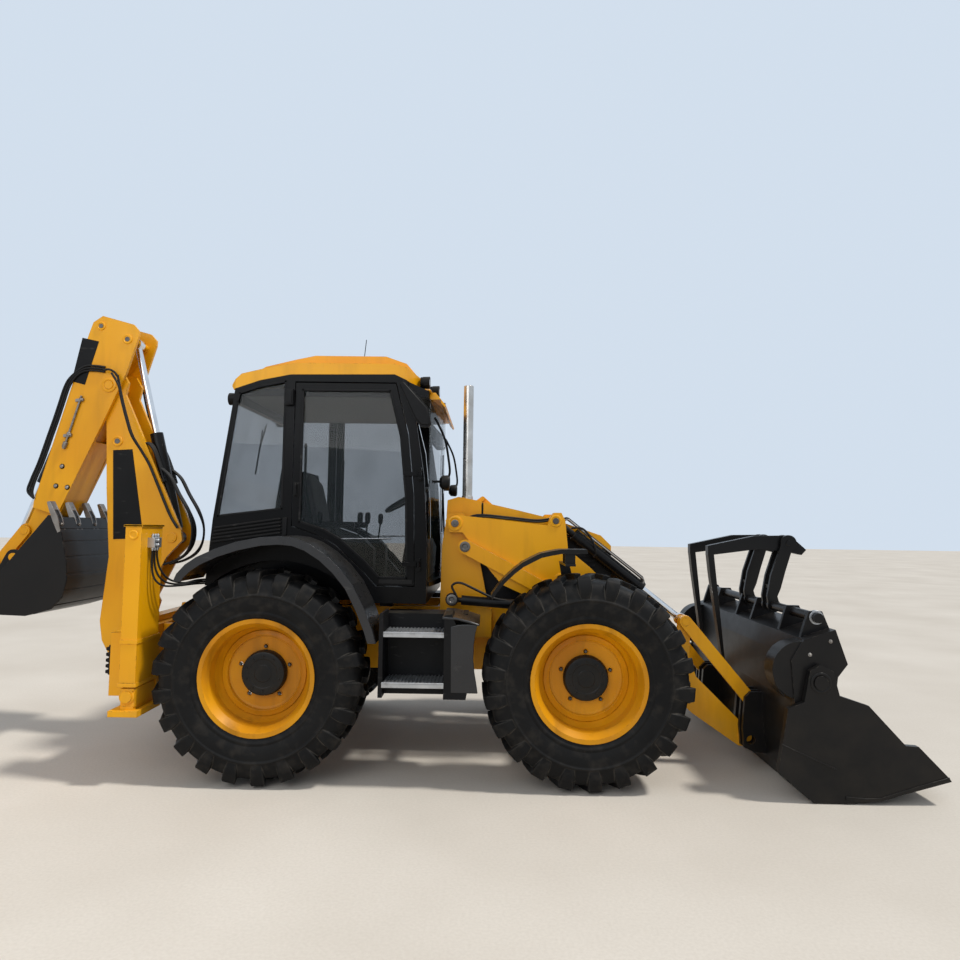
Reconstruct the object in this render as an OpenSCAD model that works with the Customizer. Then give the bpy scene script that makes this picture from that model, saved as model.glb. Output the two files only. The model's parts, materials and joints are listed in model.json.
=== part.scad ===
// Four-wheel-steer backhoe loader with an extending dipper, a clam shovel and
// folding forks. Millimetres, +X forward, +Y to the machine's left, +Z up.
// Side outlines are given as [x, z] pairs, x counted from the rear axle.

/* [Running gear] */
// distance between the two axles
wheelbase = 2220; // [2100:5:2400]
// distance between the left and right wheel centres
track = 1920; // [1700:10:2100]
// outside diameter of a tyre over its lugs
tyre_d = 1435; // [1300:5:1600]
// section width of a tyre
tyre_w = 430; // [350:5:500]
// diameter over the rim flanges
rim_d = 786; // [600:1:900]
// lugs on each side of a tyre
lug_count = 17; // [10:1:24]
// height of a lug
lug_h = 34; // [15:1:60]
// steering pivot's distance in from the wheel's middle
kingpin_in = 160; // [120:5:220]
// place of the rear axle in the part's frame
rear_axle_x = -971; // [-1200:1:-700]

/* [Frame] */
// half width of the rails, outside
rail_y = 345; // [300:5:400]
// thickness of a rail plate
rail_t = 45; // [20:1:80]
// half width of the rear frame that carries the digging arm
rear_frame_y = 870; // [860:5:900]
// height of the sill under the cab
sill_z = 1180; // [1000:5:1400]

/* [Cab] */
// half width over the cab's sides
cab_y = 740; // [600:5:850]
// thickness of the cab's side frames and doors
cab_t = 40; // [20:1:80]
// height of the roof's crown
roof_z = 3030; // [2800:5:3200]
// thickness of a window pane
glass_t = 8; // [4:1:15]

/* [Loader] */
// inner face of each loader arm
arm_y = 445; // [420:1:500]
// thickness of each loader arm
arm_t = 50; // [20:1:80]
// width of the shovel
shovel_w = 2440; // [2000:10:2600]
// diameter of a shovel ram's barrel
tilt_ram_d = 100; // [60:1:140]
// diameter of a lift ram's barrel
lift_ram_d = 72; // [60:1:100]

/* [Digging arm] */
// sideways place of the middle of the digging arm
slew_x = -1325; // [-1450:1:-1250]
// half width over the boom's plates
boom_y = 130; // [90:1:180]
// half width over the dipper's plates
dipper_y = 168; // [140:1:220]
// width of the digging bucket
bucket_w = 780; // [300:10:900]

/* [Hidden] */
$fn = 40;
axle_z = tyre_d / 2;
front_x = wheelbase;
kingpin_y = track / 2 - kingpin_in;
flange_r = rim_d / 2;
pin_r = 30;
bore_gap = 0.4;
lift_y = 563;
door_hinge_x = 1030;
door_hinge_y = 775;
hood_hinge = [1488, 1970];
tilt_y = 412;

// Loader pins [x, z]
arm_pin = [1280, 1768];
level_pin = [1360, 1592];
level_arm_pin = [2090, 1353];
level_eye = [2170, 1177];
lift_base = [1270, 1199];
lift_eye = [2450, 1120];
tilt_base = [2067, 1795];
tilt_eye = [3020, 1058];
tilt_lever_pin = [2995, 795];
shovel_pin = [3480, 215];
shovel_top_pin = [3505, 478];
clam_pin = [3708, 765];
fork_shaft = [3750, 1168];
fork_pin = [3869, 1651];

// Digging arm pins [x, z]
boom_pin = [-1460, 760];
boom_ram_base = [-1275, 1085];
boom_ram_eye = [-1548, 2411];
dipper_pin = [-1622, 2873];
dipper_ram_base = [-1064, 1621];
dipper_ram_eye = [-1484, 3259];
bucket_pin = [-2312, 1448];
crowd_base = [-1739, 3370];
crowd_eye = [-2495, 1375];
lever_pin = [-2275, 1660];
link_eye = [-2470, 1150];
// Unit vector down the dipper, the way the inner dipper slides out
slide_u = [-0.3502, -0.9367];

// Helpers

module at_machine() {
  translate([rear_axle_x, 0, 0]) children();
}

module both() {
  children();
  mirror([0, 1, 0]) children();
}

// side outline made solid from y = y0 to y = y1
module slab(pts, y0, y1) {
  translate([0, y1, 0]) rotate([90, 0, 0]) linear_extrude(y1 - y0) polygon(pts);
}

// round bar along Y
module bar(p, r, y0, y1) {
  translate([p[0], y1, p[1]]) rotate([90, 0, 0]) cylinder(h = y1 - y0, r = r);
}

// box from one corner to the other
module block(a, b) {
  translate(a) cube([b[0] - a[0], b[1] - a[1], b[2] - a[2]]);
}

// outline of a bar with round ends of radius r1 at p and r2 at q
function link_pts(p, q, r1, r2, n = 8) =
  let (d = q - p, len = norm(d), t = atan2(d[1], d[0]), f = acos((r1 - r2) / len))
  concat(
    [for (i = [0:n]) let (a = t - f + 2 * f * i / n) q + r2 * [cos(a), sin(a)]],
    [for (i = [0:n]) let (a = t + f + (360 - 2 * f) * i / n) p + r1 * [cos(a), sin(a)]]
  );

module link(p, q, r1, r2, y0, y1) {
  slab(link_pts(p, q, r1, r2), y0, y1);
}

// places its children at p with +Z pointing to q, in the side plane at y
module toward(p, q, y) {
  translate([p[0], y, p[1]]) rotate([0, atan2(q[0] - p[0], q[1] - p[1]), 0]) children();
}

// barrel of a ram: eye at p, tube toward q
module ram_barrel(p, q, y, r, rod_r, start, len, eye_r, eye_w, hole_r) {
  difference() {
    union() {
      bar(p, eye_r, y - eye_w / 2, y + eye_w / 2);
      toward(p, q, y) translate([0, 0, eye_r * 0.7]) cylinder(h = start - eye_r * 0.7 + 5, r = eye_w / 2 - 4);
      toward(p, q, y) translate([0, 0, start]) cylinder(h = len - start, r = r);
    }
    bar(p, hole_r + bore_gap, y - eye_w, y + eye_w);
    toward(p, q, y) translate([0, 0, start + 30]) cylinder(h = len, r = rod_r + 0.6);
  }
}

// rod of a ram: eye at q, bar back toward p
module ram_rod(p, q, y, rod_r, len, eye_r, eye_w, hole_r) {
  difference() {
    union() {
      bar(q, eye_r, y - eye_w / 2, y + eye_w / 2);
      toward(q, p, y) translate([0, 0, eye_r * 0.6]) cylinder(h = len - eye_r * 0.6, r = rod_r);
    }
    bar(q, hole_r, y - eye_w, y + eye_w);
  }
}

// Running gear

module wheel_at(x, side) {
  translate([x, side * track / 2, axle_z]) rotate([-90 * side, 0, 0]) children();
}

// tyre around +Z, outer side up
module tyre_shape() {
  h = tyre_w / 2;
  body_r = tyre_d / 2 - lug_h;
  rotate_extrude($fn = 48)
    polygon([
      [flange_r - 5, -h * 0.82], [flange_r + 60, -h], [body_r - 120, -h],
      [body_r - 22, -h * 0.84], [body_r, -h * 0.5], [body_r, h * 0.5],
      [body_r - 22, h * 0.84], [body_r - 120, h], [flange_r + 60, h],
      [flange_r - 5, h * 0.82]
    ]);
  for (i = [0:lug_count - 1], s = [0, 1])
    rotate([0, 0, (i + s / 2) * 360 / lug_count])
      mirror([0, 0, s])
        translate([body_r - 26, 0, 0])
          rotate([90, 0, 90])
            linear_extrude(lug_h + 22)
              polygon([[-62, 4], [-10, -4], [92, h * 0.68], [84, h * 0.9], [40, h * 0.9], [28, h * 0.68]]);
}

// rim around +Z, outer side up; the hub face is well inside the flange
module rim_shape() {
  w = tyre_w * 0.443;
  difference() {
    union() {
      rotate_extrude($fn = 48)
        polygon([
          [flange_r - 5, -w], [flange_r - 5, w * 0.96], [flange_r, w * 0.96], [flange_r, w],
          [flange_r - 30, w], [flange_r - 62, w * 0.72], [flange_r - 70, w * 0.3],
          [flange_r - 100, 0], [235, -16], [150, -16], [150, -42],
          [235, -42], [flange_r - 90, -36], [flange_r - 45, -w]
        ]);
      translate([0, 0, -42]) cylinder(h = 48, r = 155);
      translate([0, 0, 0]) cylinder(h = 34, r1 = 150, r2 = 128);
    }
    translate([0, 0, -60]) cylinder(h = 60, r = 60 + bore_gap);
    for (i = [0:4])
      rotate([0, 0, i * 72 + 18]) translate([178, 0, -60]) cylinder(h = 80, r = 14, $fn = 16);
  }
}

// strip over a front tyre on its bracket, counted from the wheel's middle line
mudguard_top = [
  [-660, 572], [-620, 632], [-570, 690], [-510, 747], [-453, 792], [-390, 826], [-330, 856], [-260, 872], [-197, 884], [-20, 886]
];

module mudguard() {
  y = kingpin_y + 150;
  slab(concat(mudguard_top, [for (i = [9:-1:0]) mudguard_top[i] + [4, -13]]), y, y + 200);
  for (d = [0, 190])
    slab(concat([for (q = mudguard_top) q + [2, -5]], [for (i = [9:-1:0]) mudguard_top[i] + [8, -30]]), y + d, y + d + 10);
  block([-70, kingpin_y - 85, 140], [70, kingpin_y - 25, 180]);
  slab([[-60, 145], [60, 145], [-95, 785], [-165, 785]], kingpin_y - 85, kingpin_y - 65);
  block([-165, kingpin_y - 85, 772], [-95, y + 200, 787]);
  for (d = [30, 160]) block([-165, y + d, 780], [-95, y + d + 14, 878]);
}

// steered hub carrier; side is 1 on the left, -1 on the right
module knuckle(x, side) {
  at_machine()
    scale([1, side, 1])
      translate([x, 0, axle_z]) {
        difference() {
          union() {
            rotate([-90, 0, 0]) translate([0, 0, kingpin_y - 30]) cylinder(h = 130, r = 125);
            rotate([-90, 0, 0]) translate([0, 0, kingpin_y + 90]) cylinder(h = 58, r = 60);
            translate([0, kingpin_y, -165]) cylinder(h = 330, r = 62);
            block([-70, kingpin_y - 30, -180], [70, kingpin_y + 80, -118]);
            block([-70, kingpin_y - 30, 118], [70, kingpin_y + 80, 180]);
            if (x == front_x) mudguard();
          }
          block([-140, kingpin_y - 120, -116], [140, kingpin_y + 52, 116]);
          translate([0, kingpin_y, -200]) cylinder(h = 400, r = 28 + bore_gap);
        }
      }
}

// steering rams stand away from the shafts
module axle(x) {
  ram_x = x == front_x ? 160 : -160;
  at_machine()
    translate([x, 0, axle_z]) {
      difference() {
        union() {
          rotate([-90, 0, 0]) translate([0, 0, 120 - kingpin_y]) cylinder(h = 2 * kingpin_y - 240, r = 85);
          rotate([-90, 0, 0]) translate([0, 0, -150]) cylinder(h = 300, r = 190);
          both() {
            rotate([-90, 0, 0]) translate([0, 0, kingpin_y - 240]) cylinder(h = 130, r1 = 85, r2 = 100);
            block([-60, kingpin_y - 140, -100], [60, kingpin_y + 15, 100]);
            translate([0, kingpin_y, -110]) cylinder(h = 220, r = 42);
            translate([0, kingpin_y, -195]) cylinder(h = 390, r = 28);
            block([-130, 150, 60], [130, rail_y, 880 - axle_z]);
            // steering ram
            block([min(0, ram_x), 230, -50], [max(0, ram_x), 260, 30]);
          }
          translate([ram_x, -290, -10]) rotate([-90, 0, 0]) cylinder(h = 580, r = 36);
          translate([ram_x, -560, -10]) rotate([-90, 0, 0]) cylinder(h = 1120, r = 17);
        }
      }
    }
}

module front_axle() {
  color("dimgray") axle(front_x);
}

module rear_axle() {
  color("dimgray") axle(0);
}

module wheel_rim(x, side) {
  color("gold") at_machine() wheel_at(x, side) rim_shape();
}

module wheel_tyre(x, side) {
  color([0.12, 0.12, 0.12]) at_machine() wheel_at(x, side) tyre_shape();
}

// Frame

rail_pts = [
  [-1000, 955], [-900, 955], [-860, 1120], [2450, 1120], [2560, 1060], [2560, 880], [1960, 880], [1860, 640],
  [420, 640], [300, 880], [-1000, 880]
];
tower_pts = [
  [1170, 1060], [1180, 1600], [1215, 1840], [1340, 1850], [1420, 1700], [1470, 1500], [1560, 1060]
];

module chassis() {
  color("gold")
    at_machine() {
      both() {
        slab(rail_pts, rail_y - rail_t, rail_y);
        slab(tower_pts, rail_y + 27, arm_y - 13);
        slab([[1160, 900], [1160, 1110], [1570, 1110], [1570, 900]], rail_y - 5, arm_y - 13);
        bar(arm_pin, pin_r, rail_y + 30, arm_y + arm_t + 8);
        bar(level_pin, pin_r, rail_y + 30, arm_y + arm_t + 29);
        bar(lift_base, pin_r, rail_y + 30, arm_y + arm_t + 108);
        block([835, rail_y - 5, 700], [905, 640, 780]);
        block([1230, rail_y - 5, 700], [1300, 640, 780]);
      }
      block([2460, -rail_y, 880], [2520, rail_y, 1110]);
      block([1700, -rail_y, 885], [1760, rail_y, 945]);
      for (x = [380, 1120]) block([x, -rail_y + 1, 1000], [x + 80, rail_y - 1, 1080]);
      block([-500, -rail_y, 900], [-420, rail_y, 1100]);
      // rear frame with the two slide rails
      block([-1040, -rear_frame_y, 520], [-1000, rear_frame_y, 960]);
      block([-1130, -rear_frame_y, 885], [-1030, rear_frame_y, 960]);
      block([-1130, -rear_frame_y, 520], [-1030, rear_frame_y, 595]);
      both() block([-1010, 300, 540], [-900, 345, 900]);
      both() block([-1130, rear_frame_y - 32, 520], [-795, rear_frame_y, 960]);
    }
}

module engine() {
  color("gray")
    at_machine() {
      block([1480, -230, 950], [2200, 230, 1520]);
      both() for (x = [1600, 2050]) block([x, 225, 980], [x + 80, rail_y - rail_t, 1030]);
      // gearbox, with the shafts to both axles
      slab([[1230, 690], [1215, 760], [1215, 1190], [1260, 1250], [1485, 1250], [1485, 960], [1440, 700]], -165, 165);
      both() block([1300, 160, 1010], [1370, rail_y - rail_t, 1060]);
      for (e = [[190.5, 1240], [1430, front_x - 190.5]]) {
        toward([e[0], 738], [e[1], 738], 0) cylinder(h = e[1] - e[0], r = 36);
        for (q = [e[0], e[1] - 50]) toward([q, 738], [e[1], 738], 0) cylinder(h = 50, r = 52);
      }
    }
}

module side_modules() {
  color([0.2, 0.2, 0.2])
    at_machine()
      both() {
        block([820, 640, 600], [1400, 880, 1130]);
        slab([[812, 600], [812, 1150], [840, 1160], [840, 600]], 870, 1130);
        slab([[1250, 600], [1250, 1150], [1300, 1160], [1410, 900], [1420, 700], [1400, 600]], 870, 1150);
        block([835, 870, 1000], [1255, 1120, 1022]);
        block([835, 870, 672], [1255, 1150, 694]);
        block([835, 870, 600], [1255, 1000, 640]);
      }
}

module rear_fenders() {
  outer = [
    [-575, 1350], [-554, 1402], [-500, 1464], [-425, 1516], [-300, 1574], [-160, 1622], [0, 1655], [130, 1664],
    [231, 1655], [330, 1618], [440, 1549], [540, 1458], [631, 1348], [710, 1200], [771, 1047], [796, 960]
  ];
  inner = [
    [756, 960], [731, 1040], [672, 1182], [597, 1325], [510, 1430], [414, 1517], [310, 1582], [222, 1614],
    [128, 1622], [4, 1613], [-146, 1581], [-284, 1535], [-403, 1480], [-472, 1432], [-520, 1382], [-538, 1350]
  ];
  color([0.15, 0.15, 0.15])
    at_machine()
      both() {
        slab(concat(outer, inner), cab_y, 1152);
        // rolled lip
        slab(concat(outer, [for (i = [0:15]) inner[i] + (inner[i] - outer[15 - i]) * 0.35]), 1148, 1165);
      }
}

// Cab

// points of an arc round the rear axle
function arch(r, a0, a1, n = 14) =
  [for (i = [0:n]) let (a = a0 + (a1 - a0) * i / n) [r * cos(a), axle_z + r * sin(a)]];

// underside of the roof's edge, and its height at x
roof_low = [[-375, 2740], [-175, 2810], [52, 2856], [827, 2865], [919, 2822], [1090, 2745]];
function under_roof(x) = lookup(x, roof_low);

side_pts = concat(
  [[-530, 1290], [-490, 1770], [-372, 2640], [-358, under_roof(-358)], roof_low[1], roof_low[2], roof_low[3], roof_low[4],
   [985, 2560], [1060, 2100], [1090, 1600], [1090, 1180]],
  arch(762, 37.4, 131, 12)
);
door_pts = [
  [95, 1735], [95, 2795], [838, 2795], [935, 2420], [985, 1960], [1000, 1310],
  [720, 1310], [600, 1440], [420, 1600], [300, 1665]
];
door_window_pts = [
  [146, 1762], [146, 2745], [798, 2745], [884, 2408], [932, 1950], [947, 1362],
  [742, 1362], [637, 1478], [448, 1638], [328, 1704]
];
quarter_pts = [[-456, 1795], [-342, 2650], [-325, 2716], [-175, 2767], [20, 2808], [20, 1856]];

function grow(pts, c, k) = [for (p = pts) c + (p - c) * k];

// bowed line of the windscreen seen from above, d ahead of it; way is 1 or -1
function screen_curve(d, way) =
  [for (i = [-4:4]) let (y = way * i * 160) [1160 + d - 68 * pow(y / 640, 2), y]];

module cab_frame() {
  color([0.15, 0.15, 0.15])
    at_machine() {
      both()
        difference() {
          slab(side_pts, cab_y - cab_t, cab_y);
          slab(grow(door_pts, [560, 2050], 1.012), cab_y - cab_t - 5, cab_y + 5);
          slab(quarter_pts, cab_y - cab_t - 5, cab_y + 5);
        }
      block([-505, -560, sill_z], [1090, 560, sill_z + 30]);
      both() {
        block([612, 555, sill_z], [1090, cab_y - cab_t + 1, sill_z + 30]);
        slab(concat(arch(762, 38, 131), arch(780, 131, 38)), 545, cab_y - cab_t + 1);
        slab(concat([[-490, sill_z + 10], [600, sill_z + 10]], arch(770, 38, 130)), 545, 560);
      }
      block([1060, -cab_y + cab_t - 1, sill_z], [1090, cab_y - cab_t + 1, 1330]);
      // bowed sill under the windscreen
      translate([0, 0, 1296])
        linear_extrude(34)
          polygon(concat(screen_curve(8, 1), [[1070, 640], [1070, -640]]));
      slab([[-528, 1320], [-490, 1770], [-450, 1770], [-488, 1320]], -cab_y + cab_t - 1, cab_y - cab_t + 1);
      slab([[-520, 1190], [-528, 1325], [-488, 1325], [-480, 1190]], -555, 555);
      slab([[-372, 2640], [-358, under_roof(-358)], [-290, under_roof(-290)], [-325, 2640]], -cab_y + cab_t - 1, cab_y - cab_t + 1);
      slab([[874, 2700], [874, under_roof(874)], [919, 2822], [1080, under_roof(1080)], [1080, 2700]], -cab_y + cab_t - 1, cab_y - cab_t + 1);
      both() block([-200, 300, 1120], [-100, 400, 1190]);
      both()
        for (z = [1420, 2080]) {
          for (d = [0, 66]) block([door_hinge_x - 14, cab_y - 5, z + d], [door_hinge_x + 14, door_hinge_y + 14, z + d + 24]);
          translate([door_hinge_x, door_hinge_y, z + 10]) cylinder(h = 70, r = 8);
        }
      both() block([700, 300, 1120], [800, 400, 1190]);
    }
}

module cab_roof() {
  color("gold")
    at_machine() {
      difference() {
        union() {
          slab(concat(
              [[-402, 2777], [-314, 2859], [-120, 2906], [90, 2944], [824, 2944], [930, 2914], [1042, 2853], [1114, 2764]],
              [for (i = [5:-1:0]) roof_low[i]]
            ), -cab_y, cab_y);
          slab([[-300, 2850], [-180, 2940], [60, 3000], [200, roof_z], [740, roof_z], [900, 2975], [1000, 2860], [900, 2880], [60, 2890]],
            -cab_y + 130, cab_y - 130);
          slab([[1082, 2700], [1082, 2752], [1125, 2752], [1205, 2655], [1196, 2640], [1166, 2674], [1166, 2700]],
            -cab_y + 110, cab_y - 110);
        }
        // rounded front corners that leave room for the lamps
        both()
          translate([0, 0, 2753])
            linear_extrude(300)
              polygon([[900, 760], [960, 640], [1000, 560], [1030, 450], [1050, 300], [1062, 150], [1200, 150], [1200, 760]]);
        both()
          translate([0, 0, 2700])
            linear_extrude(300)
              polygon([[-420, 760], [-420, 640], [-395, 700], [-340, 760]]);
      }
    }
}

module lamps_mirrors() {
  color([0.2, 0.2, 0.2])
    at_machine()
      both() {
        // front and rear working lamps
        for (q = [[1006, 585, 2836], [1064, 380, 2806]]) {
          translate(q) rotate([0, 90, 0]) cylinder(h = 62, r = 42);
          block([q[0] + 24, q[1] - 8, q[0] < 1050 ? under_roof(q[0] + 24) : 2753], [q[0] + 32, q[1] + 8, q[2] - 30]);
        }
        translate([-440, 600, 2690]) rotate([0, 90, 0]) cylinder(h = 69, r = 42);
        // door mirror on its arm
        slab([[861, 2795], [900, 2812], [1085, 2610], [1110, 2485], [1090, 2466], [1032, 2470], [985, 2524]], 762, 796);
        bar([985, 2580], 14, cab_y, 770);
        // marker lamp on the door post
        slab([[24, 2744], [84, 2740], [84, 2625], [28, 2622]], cab_y, 778);
      }
}

module cab_glass() {
  color([0.5, 0.6, 0.6, 0.4])
    at_machine() {
      both() slab(grow(quarter_pts, [-200, 2200], 1), cab_y - cab_t / 2 - glass_t / 2, cab_y - cab_t / 2 + glass_t / 2);
      slab([[-484, 1770], [-367, 2640], [-355, 2640], [-472, 1770]], -cab_y + cab_t + 10, cab_y - cab_t - 10);
      translate([0, 0, 1330])
        linear_extrude(1370)
          polygon(concat(screen_curve(0, 1), screen_curve(-glass_t - 1, -1)));
    }
}

module cab_inside() {
  color([0.25, 0.25, 0.25])
    at_machine() {
      block([150, -250, 1210], [500, 250, 1400]);
      block([60, -250, 1400], [520, 250, 1520]);
      slab([[60, 1500], [-40, 2150], [40, 2170], [170, 1520]], -240, 240);
      slab([[800, 1210], [900, 1900], [960, 1900], [960, 1210]], -120, 120);
      translate([850, 0, 1960]) rotate([0, -30, 0]) rotate_extrude($fn = 32) translate([190, 0]) circle(r = 16, $fn = 10);
      translate([850, 0, 1960]) rotate([0, -30, 0]) block([-185, -18, -8], [185, 18, 8]);
      translate([850, 0, 1960]) rotate([0, -30, 0]) translate([0, 0, -90]) cylinder(h = 100, r = 26);
    }
}

module door(side) {
  color([0.15, 0.15, 0.15])
    at_machine()
      scale([1, side, 1])
        difference() {
          union() {
            difference() {
              slab(door_pts, cab_y - cab_t, cab_y);
              slab(door_window_pts, cab_y - cab_t - 5, cab_y + 5);
            }
            for (z = [1450, 2110]) {
              block([912, cab_y - 5, z], [950, cab_y + 16, z + 30]);
              block([912, cab_y + 6, z], [door_hinge_x, cab_y + 16, z + 30]);
              block([door_hinge_x - 15, cab_y + 6, z], [door_hinge_x, door_hinge_y, z + 30]);
              translate([door_hinge_x, door_hinge_y, z]) cylinder(h = 30, r = 15);
            }
          }
          translate([door_hinge_x, door_hinge_y, 1300]) cylinder(h = 1000, r = 8 + bore_gap);
        }
}

module door_glass(side) {
  color([0.5, 0.6, 0.6, 0.4])
    at_machine()
      scale([1, side, 1])
        slab(door_window_pts, cab_y - cab_t / 2 - glass_t / 2, cab_y - cab_t / 2 + glass_t / 2);
}

// Hood and nose

hood_top = [[1495, 1938], [1760, 1880], [2022, 1820], [2420, 1690], [2500, 1610]];
hood_low = [[2500, 1560], [2400, 1600], [2022, 1732], [1495, 1800]];
cowl_pts = [
  [1205, 1822], [1212, 1950], [1300, 1978], [1480, 1945], [1480, 1802]
];

module hood() {
  color("gold")
    at_machine()
      difference() {
        slab(concat(hood_top, hood_low), -340, 340);
        slab([[1520, 1700], [1520, 1905], [2010, 1790], [2400, 1665], [2470, 1560], [2300, 1500]], -315, 315);
      }
  color("gold")
    at_machine()
      both()
        difference() {
          link(hood_hinge, [1560, 1912], 18, 14, 212, 240);
          bar(hood_hinge, 9 + bore_gap, 200, 260);
        }
}

module cowl() {
  color("gold")
    at_machine()
      difference() {
        union() {
          difference() {
            slab(cowl_pts, -350, 350);
            slab([[1230, 1700], [1236, 1930], [1300, 1955], [1456, 1925], [1456, 1700]], -325, 325);
          }
          translate([1365, -290, 1930]) cylinder(h = 942, r = 38);
          both() {
            for (y = [184, 246]) link(hood_hinge, [1440, 1938], 18, 14, y, y + 22);
            bar(hood_hinge, 9, 190, 262);
          }
        }
        translate([1365, -290, 1980]) cylinder(h = 1000, r = 33);
      }
}

module nose() {
  color([0.2, 0.2, 0.2])
    at_machine() {
      both()
        slab([[1215, 1120], [1215, 1821.27], [1480, 1802], [1480, 1792], [2018, 1724], [2400, 1592], [2500, 1552], [2500, 1120]],
          315, 340);
      block([2475, -316, 1120], [2500, 316, 1550]);
      block([2440, -250, 1180], [2476, 250, 1520]);
      // grille slats
      for (i = [0:8]) {
        both() block([1700, 338, 1250 + i * 38], [2370, 348, 1268 + i * 38]);
        block([2498, -250, 1205 + i * 36], [2510, 250, 1222 + i * 36]);
      }
    }
}

// Stabilisers

module stabiliser_cases() {
  color("gold")
    at_machine()
      both()
        difference() {
          union() {
            block([-905, 870, 650], [-795, 1170, 1713]);
            block([-914, 862, 1713], [-786, 1178, 1728]);
            for (z = [650, 934]) block([-911, 871, z], [-789, 1176, z + 26]);
          }
          block([-893, 886, 600], [-807, 1154, 1690]);
        }
}

module stabiliser(side) {
  color("gold")
    at_machine()
      scale([1, side, 1]) {
        block([-885, 895, 520], [-815, 1145, 1600]);
        block([-892.7, 886.3, 1400], [-807.3, 1153.7, 1560]);
        block([-893, 885, 520], [-800, 1160, 640]);
        slab([[-955, 462], [-955, 500], [-760, 500], [-760, 462]], 870, 1200);
        block([-890, 880, 495], [-805, 1165, 525]);
        bar([-850, 587], 38, 1150, 1182);
      }
}

// Digging arm

module carriage() {
  color("gold")
    at_machine()
      difference() {
        union() {
          block([-1165, -330, 540], [-1136, 330, 1010]);
          block([-1165, -330, 966], [-1060, 330, 1010]);
          block([-1130, -300, 960.3], [-1070, 300, 970]);
          block([-1165, -330, 470], [-1060, 330, 514]);
          block([-1165, -330, 500], [-1136, 330, 560]);
          for (z = [560, 860]) {
            block([slew_x, -70, z], [-1150, 70, z + 60]);
            translate([slew_x, 0, z]) cylinder(h = 60, r = 90);
          }
        }
        translate([slew_x, 0, 500]) cylinder(h = 500, r = 40 + bore_gap);
      }
}

kingpost_pts = [
  [-1405, 626], [-1405, 850], [-1430, 850], [-1430, 934], [-1262, 934], [-1222, 1085],
  [-1250, 1136], [-1310, 1136], [-1500, 880], [-1535, 760], [-1480, 660]
];

module kingpost() {
  color("gold")
    at_machine()
      difference() {
        union() {
          both() slab(kingpost_pts, 64, 88);
          translate([slew_x, 0, 626]) cylinder(h = 228, r = 88);
          block([-1420, -84, 640], [slew_x, 84, 850]);
          translate([slew_x, 0, 552]) cylinder(h = 376, r = 40);
          bar(boom_pin, 35, -boom_y - 6, boom_y + 6);
          bar(boom_ram_base, pin_r, -86, 86);
        }
      }
}

boom_pts = [
  [-1622, 3015], [-1690, 2995], [-1745, 2945], [-1765, 2873], [-1735, 2790], [-1660, 2720],
  [-1646, 2518], [-1620, 2000], [-1576, 1455], [-1624, 935], [-1600, 780], [-1545, 680], [-1460, 660],
  [-1400, 690], [-1380, 750], [-1390, 810], [-1428, 848], [-1432, 932], [-1330, 1010], [-1262, 1130],
  [-1100, 1461], [-975, 1600], [-990, 1680], [-1270, 2300],
  [-1500, 2800], [-1480, 2900], [-1530, 2990]
];

module boom() {
  color("gold")
    at_machine()
      difference() {
        union() {
          both() slab(boom_pts, boom_y - 32, boom_y);
          both() slab([[-1655, 2600], [-1646, 2518], [-1620, 2000], [-1576, 1455], [-1624, 1000], [-1590, 1000], [-1545, 1455], [-1590, 2000], [-1612, 2518], [-1622, 2600]],
            62, boom_y - 30);
          slab([[-1676, 2745], [-1657, 2590], [-1625, 2590], [-1640, 2745]], -boom_y + 30, boom_y - 30);
          slab([[-1588, 950], [-1626, 950], [-1605, 790], [-1572, 790]], -boom_y + 30, boom_y - 30);
          bar(dipper_ram_base, pin_r, -boom_y - 8, boom_y + 8);
          both() bar(boom_ram_eye, 30, 44, boom_y + 5);
        }
        bar(boom_pin, 35 + bore_gap, -200, 200);
        bar(dipper_pin, 35 + bore_gap, -200, 200);
      }
}

module boom_ram_barrel() {
  color([0.1, 0.1, 0.1]) at_machine() ram_barrel(boom_ram_base, boom_ram_eye, 0, 56, 32, 80, 1180, 55, 76, pin_r);
}

module boom_ram_rod() {
  color("silver") at_machine() ram_rod(boom_ram_base, boom_ram_eye, 0, 32, 900, 52, 76, pin_r);
}

dipper_pts = [
  [-1810, 3300], [-1777, 3400], [-1700, 3455], [-1440, 3385], [-1392, 3330], [-1392, 3285],
  [-1480, 2980], [-1660, 2555], [-1950, 1900], [-2000, 1790], [-2200, 1850], [-2195, 1905]
];

module dipper() {
  color("gold")
    at_machine()
      difference() {
        union() {
          both() slab(dipper_pts, dipper_y - 28, dipper_y);
          // front web, ahead of the inner dipper
          slab([[-1735, 2400], [-1950, 1900], [-1990, 1790], [-2010, 1797], [-1968, 1907], [-1753, 2407]],
            -dipper_y + 20, dipper_y - 20);
          // rear strips, behind the inner dipper
          both() slab([[-2000, 2450], [-2190, 1940], [-2204, 1945], [-2014, 2455]], 98, dipper_y - 20);
          both() bar(dipper_ram_eye, 30, 44, dipper_y + 5);
          both() for (q = [-560, -40]) bar(on_inner(q, 0), 55, 125.3, dipper_y - 10);
          bar(dipper_pin, 35, -dipper_y - 8, dipper_y + 8);
        }
      }
}

module dipper_ram_barrel() {
  color([0.1, 0.1, 0.1]) at_machine() ram_barrel(dipper_ram_base, dipper_ram_eye, 0, 52, 28, 75, 900, 52, 76, pin_r);
}

module dipper_ram_rod() {
  color("silver") at_machine() ram_rod(dipper_ram_base, dipper_ram_eye, 0, 28, 850, 48, 76, pin_r);
}

// point on the inner dipper's middle line, s along the slide, w toward the front
function on_inner(s, w) = [-2075, 1905] + s * slide_u + w * [0.9367, -0.3502];

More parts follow.
